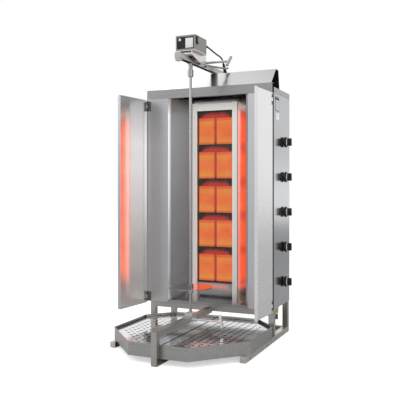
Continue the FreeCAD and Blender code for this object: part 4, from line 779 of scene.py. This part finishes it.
class StageOperator(bpy.types.Operator):
    """Camera, floor, room and soft lights"""
    bl_idname = "spit_grill.stage"
    bl_label = "Stage and Camera"

    def execute(self, context):
        light = context.scene.spit_grill_stage
        scene = context.scene
        scene.view_settings.view_transform = "Standard"
        lens = bpy.data.cameras.new("Photo Camera")
        lens.lens = CAMERA_LENS
        lens.sensor_width = 36.0
        lens.shift_y = CAMERA_SHIFT
        lens.clip_end = 100.0
        camera = bpy.data.objects.new("Photo Camera", lens)
        camera.location = CAMERA_PLACE
        camera.rotation_euler = (math.radians(90), 0.0, math.radians(CAMERA_TURN))
        scene.collection.objects.link(camera)
        scene.camera = camera
        self.world(scene, light.sky, light.front)
        self.floor(scene)
        for name, power, size, place, aim in (
            ("Overhead Softbox", light.overhead, (3.2, 2.4), (-0.4, -0.6, 3.4), (0.0, 0.1, 0.6)),
            ("Left Softbox", light.key, (1.6, 2.4), (-2.9, -1.5, 1.9), (0.0, 0.1, 0.7)),
            ("Right Softbox", light.fill, (1.6, 2.2), (2.5, -2.2, 1.4), (0.0, 0.1, 0.7)),
        ):
            lamp = bpy.data.lights.new(name, "AREA")
            lamp.shape = "RECTANGLE"
            lamp.size, lamp.size_y = size
            lamp.energy = power
            holder = bpy.data.objects.new(name, lamp)
            holder.location = place
            holder.rotation_euler = (Vector(aim) - Vector(place)).to_track_quat("-Z", "Y").to_euler()
            scene.collection.objects.link(holder)
        self.firelight(scene)
        return {"FINISHED"}

    def firelight(self, scene):
        """Light of the glowing burner column on the sheets around it."""
        low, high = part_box("burner_tiles")
        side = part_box("burner_uprights")
        lamp = bpy.data.lights.new("Firelight", "AREA")
        lamp.shape = "RECTANGLE"
        spill = 0.06
        lamp.size, lamp.size_y = side[1].x - side[0].x, high.z - low.z + spill
        lamp.energy = scene.spit_grill_fire.heat
        lamp.color = FIRELIGHT
        holder = bpy.data.objects.new("Firelight", lamp)
        holder.location = ((low.x + high.x) / 2, side[0].y - 0.002, (low.z + high.z) / 2)
        holder.rotation_euler = (math.radians(-90), 0.0, 0.0)
        holder.visible_camera = False
        scene.collection.objects.link(holder)

    def world(self, scene, sky, front):
        """A dim room with a white backdrop behind the grill, which the camera and the metal see."""
        room = bpy.data.worlds.new("Studio")
        scene.world = room
        room.use_nodes = True
        tree = room.node_tree
        way = axes_of(tree, add(tree, "ShaderNodeTexCoord").outputs["Generated"])
        ceiling = spread(tree, way["Z"], 0.0, 0.8, sky, sky * 1.5)
        facing_front = spread(tree, way["Y"], -0.85, -0.25, front, 0.0)
        plain = feed(tree, tree.nodes["Background"], {"Color": (1, 1, 1, 1),
                                                      "Strength": total(tree, ceiling, facing_front)})
        white = add(tree, "ShaderNodeBackground", {"Color": (1, 1, 1, 1), "Strength": 1.0})
        from_camera, mirrored = rays(tree)
        behind = spread(tree, way["Y"], 0.15, 0.75)
        seen = maths(tree, "MAXIMUM", from_camera, product(tree, mirrored, behind))
        both = add(tree, "ShaderNodeMixShader", {0: seen, 1: plain.outputs[0], 2: white.outputs[0]})
        feed(tree, tree.nodes["World Output"], {"Surface": both.outputs[0]})

    def floor(self, scene):
        shape = bmesh.new()
        bmesh.ops.create_grid(shape, x_segments=8, y_segments=8, size=9.0)
        mesh = bpy.data.meshes.new("Studio Floor")
        shape.to_mesh(mesh)
        shape.free()
        material, tree, shader = new_material("Studio Floor")
        paper = noise(tree, places(tree), 1.2, 3.0)
        from_camera, mirrored = rays(tree)
        pale = blended(tree, paper, (0.80, 0.80, 0.80, 1), (0.84, 0.84, 0.84, 1))
        feed(tree, shader, {"Base Color": blended(tree, mirrored, pale, (0.55, 0.55, 0.55, 1)),
                            "Emission Color": blended(tree, from_camera, BLACK, (0.52, 0.52, 0.52, 1)),
                            "Emission Strength": 1.0, "Roughness": 0.85, "Specular IOR Level": 0.1})
        mesh.materials.append(material)
        floor = bpy.data.objects.new("Studio Floor", mesh)
        floor.location = (0, 0, -0.0004)
        scene.collection.objects.link(floor)


class LeadOperator(bpy.types.Operator):
    """Lead from the motor box to its socket, with its boot and moulded plug"""
    bl_idname = "spit_grill.lead"
    bl_label = "Lead and Plug"

    def execute(self, context):
        plug = self.plug()
        walked = evaluated_route(LEAD_ROUTE)
        lead = piece("lead", tube("lead", walked, LEAD_RADIUS), "rubber", None)
        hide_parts("cable")
        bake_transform(lead)
        self.boot()
        return {"FINISHED"}

    def plug(self):
        """A round moulded plug with finger ribs, standing in the socket."""
        end, crown = Vector(LEAD_ROUTE[-1]), Vector(LEAD_ROUTE[-2])
        down = (end - crown).normalized()
        matrix = Matrix.Translation(end) @ facing(down)
        profile = [(0, -0.0002), (0.0042, -0.0002), (0.0046, 0.0008)]
        for rib in range(4):
            start = 0.0020 + rib * 0.0032
            radius = 0.0052 + rib * 0.0006
            profile += [(radius, start), (radius, start + 0.0018), (radius - 0.0009, start + 0.0022),
                        (radius - 0.0009, start + 0.0030)]
        profile += [(0.0073, 0.0158), (0.0075, 0.0172), (0.0075, 0.0300), (0.0068, 0.0312), (0.0068, 0.0335),
                    (0.0075, 0.0347), (0.0075, 0.0393), (0.0072, 0.0399), (0, 0.0399)]
        shape = bmesh.new()
        turned(shape, profile, matrix, 36)
        return fitting("lead_plug", shape, "black_plastic", "frame", "plug")

    def boot(self):
        """The tapered bend boot over the lead where it leaves the motor box."""
        start = Vector(LEAD_ROUTE[0]) - Vector((0, 0.012, 0))
        matrix = Matrix.Translation(start) @ facing((0, 1, 0))
        profile = [(0, -0.0026), (0.0046, -0.0026), (0.0046, 0),
                   (0.0060, 0.0002), (0.0060, 0.0040), (0.0056, 0.0048)]
        for rib in range(6):
            at = 0.0064 + rib * 0.0042
            radius = 0.0058 - rib * 0.00024
            profile += [(radius, at), (radius, at + 0.0022), (radius - 0.0007, at + 0.0028),
                        (radius - 0.0007, at + 0.0040)]
        profile += [(0.0043, 0.0320), (0.0040, 0.0325), (0.0, 0.0325)]
        shape = bmesh.new()
        turned(shape, profile, matrix, 28)
        fitting("lead_boot", shape, "rubber", "motor_carriage", "strain_relief")


class FinishOperator(bpy.types.Operator):
    """Puts its finish on every CAD piece that shows"""
    bl_idname = "spit_grill.finishes"
    bl_label = "Finishes"

    def execute(self, context):
        named = {node for nodes in FINISH_OF.values() for node in nodes}
        bare = sorted(set(NODES) - named - {"grate_left", "grate_right"})
        if bare:
            raise RuntimeError(f"no finish for {bare}")
        for finish, nodes in FINISH_OF.items():
            for node in nodes:
                slots = NODES[node].data.materials
                if not slots:
                    slots.append(FINISHES[finish])
                for index in range(len(slots)):
                    slots[index] = FINISHES[finish]
        return {"FINISHED"}


class GrateOperator(bpy.types.Operator):
    """Two loose perforated grates that stand in the drip pan"""
    bl_idname = "spit_grill.grates"
    bl_label = "Grates"

    def execute(self, context):
        sizes = context.scene.spit_grill_grates
        for side in ("left", "right"):
            node, name = f"grate_{side}", f"grate_{side}_sheet"
            outline, top, depth = self.outline(node)
            sheet = perforated(name, outline, top, depth, sizes)
            made = piece(name, sheet, "grate_sheet", "frame", smooth=False)
            thickened(made, sizes.gauge)
            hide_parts(node)
        return {"FINISHED"}

    def outline(self, node):
        """The corners of the CAD grate's top, in order, and its top and depth."""
        low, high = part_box(node)
        sign = -1 if low.x < 0 and high.x < 0.01 else 1
        nose, side, tail = 0.12731, 0.308, 0.20831
        front, shoulder, hip, rear = -0.304, -0.11031, 0.17231, 0.285
        near = 0.0035
        half = ((near, front), (nose, front), (side, shoulder), (side, hip), (tail, rear), (near, rear))
        return [(sign * x, y) for x, y in half], high.z, high.z - low.z


class FastenerOperator(bpy.types.Operator):
    """Screws of the motor box, hinges, top cover and post plate"""
    bl_idname = "spit_grill.fasteners"
    bl_label = "Fasteners"

    def execute(self, context):
        low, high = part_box("motor_cover")
        rise = (low.z + 0.012, high.z - 0.012)
        box_screws = [((side * high.x, high.y - 0.014, z), (side, 0, 0)) for side in (-1, 1) for z in rise]
        box_screws += [((x, high.y, z), (0, 1, 0)) for x in (-0.030, 0.020) for z in rise]
        pan_heads("box_screws", "motor_carriage", box_screws, 0.0028)
        leaf_x, leaf_front, leaf_height, leaf_feet = 0.302, 0.1786, 0.045, (0.146, 1.058)
        hinge_screws = [((side * leaf_x, leaf_front, foot + leaf_height * share), (0, -1, 0))
                        for side in (-1, 1) for foot in leaf_feet for share in (0.22, 0.78)]
        pan_heads("hinge_screws", "frame", hinge_screws, 0.0024)
        cover_low, cover_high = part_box("top_cover")
        cover_screws = [((side * cover_high.x, y, cover_low.z + 0.010), (side, 0, 0)) for side in (-1, 1)
                        for y in (0.235, 0.330, 0.430)]
        cover_screws += [((x, cover_high.y, cover_low.z + 0.010), (0, 1, 0))
                         for x in (-0.24, -0.08, 0.08, 0.24)]
        pan_heads("cover_screws", "frame", cover_screws, 0.0030)
        plate_screws = [((x, y, 1.144), (0, 0, 1)) for x in (-0.022, 0.022) for y in (0.3495, 0.3935)]
        pan_heads("post_screws", "frame", plate_screws, 0.0040)
        return {"FINISHED"}


class SideOperator(bpy.types.Operator):
    """Dark strips beside the stiles, painted shade of the recess there, and two bare plates with a dark bar
    on the right side panel
    """
    bl_idname = "spit_grill.sides"
    bl_label = "Side Strips and Plates"

    def execute(self, context):
        low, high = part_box("side_panel_right")
        # The dark strips beside the stiles are painted shade of the recess between wing and side panel
        for side, sign in (("left", -1), ("right", 1)):
            shape = bmesh.new()
            near, far = sorted((sign * (high.x - 0.0028), sign * high.x))
            rounded_block(shape, (near, low.y + 0.0006, low.z + 0.002),
                          (far, low.y + 0.0236, high.z - 0.002), 0.0006)
            fitting(f"stile_shade_strip_{side}", shape, "rubber", "frame")
        for name, y, z, width, height, thick, finish in (
            ("rim", 0.254, 1.069, 0.062, 0.065, 0.0004, "rubber"),
            ("upper", 0.254, 1.069, 0.057, 0.060, 0.0006, "polished_panel"),
            ("bar", 0.254, 1.0915, 0.057, 0.009, 0.0008, "rubber"),
            ("lower", 0.262, 1.0125, 0.046, 0.031, 0.0006, "white_plate"),
        ):
            shape = bmesh.new()
            rounded_block(shape, (high.x - 0.0002, y - width / 2, z - height / 2),
                          (high.x + thick, y + width / 2, z + height / 2), 0.0002)
            fitting(f"side_plate_{name}", shape, finish, "frame")
        return {"FINISHED"}


class BoxOperator(bpy.types.Operator):
    """Bare plate and blank cap on the front of the motor box"""
    bl_idname = "spit_grill.box_front"
    bl_label = "Motor Box Front"

    def execute(self, context):
        low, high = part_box("motor_front_plate")
        face = low.y
        middle = (low.x + high.x) / 2 - 0.002
        shape = bmesh.new()
        rounded_block(shape, (middle + 0.002, face - 0.0010, low.z + 0.007),
                      (high.x - 0.008, face + 0.0002, high.z - 0.009), 0.0006)
        fitting("bare_plate", shape, "pale_plate", "motor_carriage")
        shape = bmesh.new()
        matrix = Matrix.Translation((low.x + 0.017, face, high.z - 0.014)) @ facing((0, -1, 0))
        turned(shape, ((0, -0.0002), (0.0060, -0.0002), (0.0060, 0.0010), (0.0054, 0.0016), (0.0048, 0.0013),
                       (0, 0.0013)), matrix, 32)
        fitting("blank_cap", shape, "pale_plate", "motor_carriage")
        return {"FINISHED"}


class KnobOperator(bpy.types.Operator):
    """Control knobs: a black skirt with a grey face, a grip bar and a pointer line"""
    bl_idname = "spit_grill.knobs"
    bl_label = "Control Knobs"

    def execute(self, context):
        for number in TAPS:
            body = f"knob_{number}"
            low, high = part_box(body)
            middle = (low + high) / 2
            across = Matrix.Translation((low.x, middle.y, middle.z)) @ facing((1, 0, 0))
            depth, radius = high.x - low.x, (high.z - low.z) / 2
            skirt = bmesh.new()
            rim = depth * 0.36
            turned(skirt, ((0, 0), (radius - 0.0006, 0), (radius, 0.0006), (radius, rim - 0.0034),
                           (radius - 0.0012, rim - 0.0012), (radius - 0.0034, rim), (0, rim)), across, 48)
            fitting(f"knob_skirt_{number}", skirt, "black_plastic", body, body)
            disc = bmesh.new()
            turned(disc, ((0, rim - 0.0002), (radius - 0.0042, rim - 0.0002), (radius - 0.0042, rim + 0.0003),
                          (radius - 0.0050, rim + 0.0006), (0, rim + 0.0006)), across, 48)
            fitting(f"knob_face_{number}", disc, "knob_face", body)
            grip = bmesh.new()
            rounded_block(grip, (low.x + rim, middle.y - 0.0070, middle.z - 0.0175),
                          (high.x - 0.0002, middle.y + 0.0070, middle.z + 0.0175), 0.0026)
            fitting(f"knob_grip_{number}", grip, "black_plastic", body)
            line = bmesh.new()
            rounded_block(line, (high.x - 0.0006, middle.y - 0.0009, middle.z + 0.003),
                          (high.x, middle.y + 0.0009, middle.z + 0.0140), 0.0001)
            fitting(f"knob_pointer_{number}", line, "mark", body)
        return {"FINISHED"}


class SpitGrillPanel(bpy.types.Panel):
    bl_label = "Spit Grill"
    bl_idname = "VIEW3D_PT_spit_grill"
    bl_space_type = "VIEW_3D"
    bl_region_type = "UI"
    bl_category = "Spit Grill"

    def draw(self, context):
        for kind in OPERATORS:
            self.layout.operator(kind.bl_idname)
        for name in SETTINGS:
            settings = getattr(context.scene, name)
            box = self.layout.box()
            for field in settings.bl_rna.properties.keys():
                if field not in ("rna_type", "name"):
                    box.prop(settings, field)


SETTINGS = {
    "spit_grill_sheet": SheetFinish,
    "spit_grill_fire": FireFinish,
    "spit_grill_grates": GrateSizes,
    "spit_grill_stage": StageLight,
}
OPERATORS = (StageOperator, LeadOperator, FinishOperator, GrateOperator, FastenerOperator, SideOperator,
             BoxOperator, KnobOperator)


def register():
    for kind in (*SETTINGS.values(), *OPERATORS, SpitGrillPanel):
        bpy.utils.register_class(kind)
    for name, kind in SETTINGS.items():
        setattr(bpy.types.Scene, name, bpy.props.PointerProperty(type=kind))


def unregister():
    for name in SETTINGS:
        delattr(bpy.types.Scene, name)
    for kind in reversed((*SETTINGS.values(), *OPERATORS, SpitGrillPanel)):
        bpy.utils.unregister_class(kind)


def main():
    register()
    scene = bpy.context.scene
    build_effects()
    FINISHES.update(build_finishes(scene.spit_grill_sheet, scene.spit_grill_fire))
    for kind in OPERATORS:
        group, name = kind.bl_idname.split(".")
        getattr(getattr(bpy.ops, group), name)()


if __name__ == "__main__":
    main()
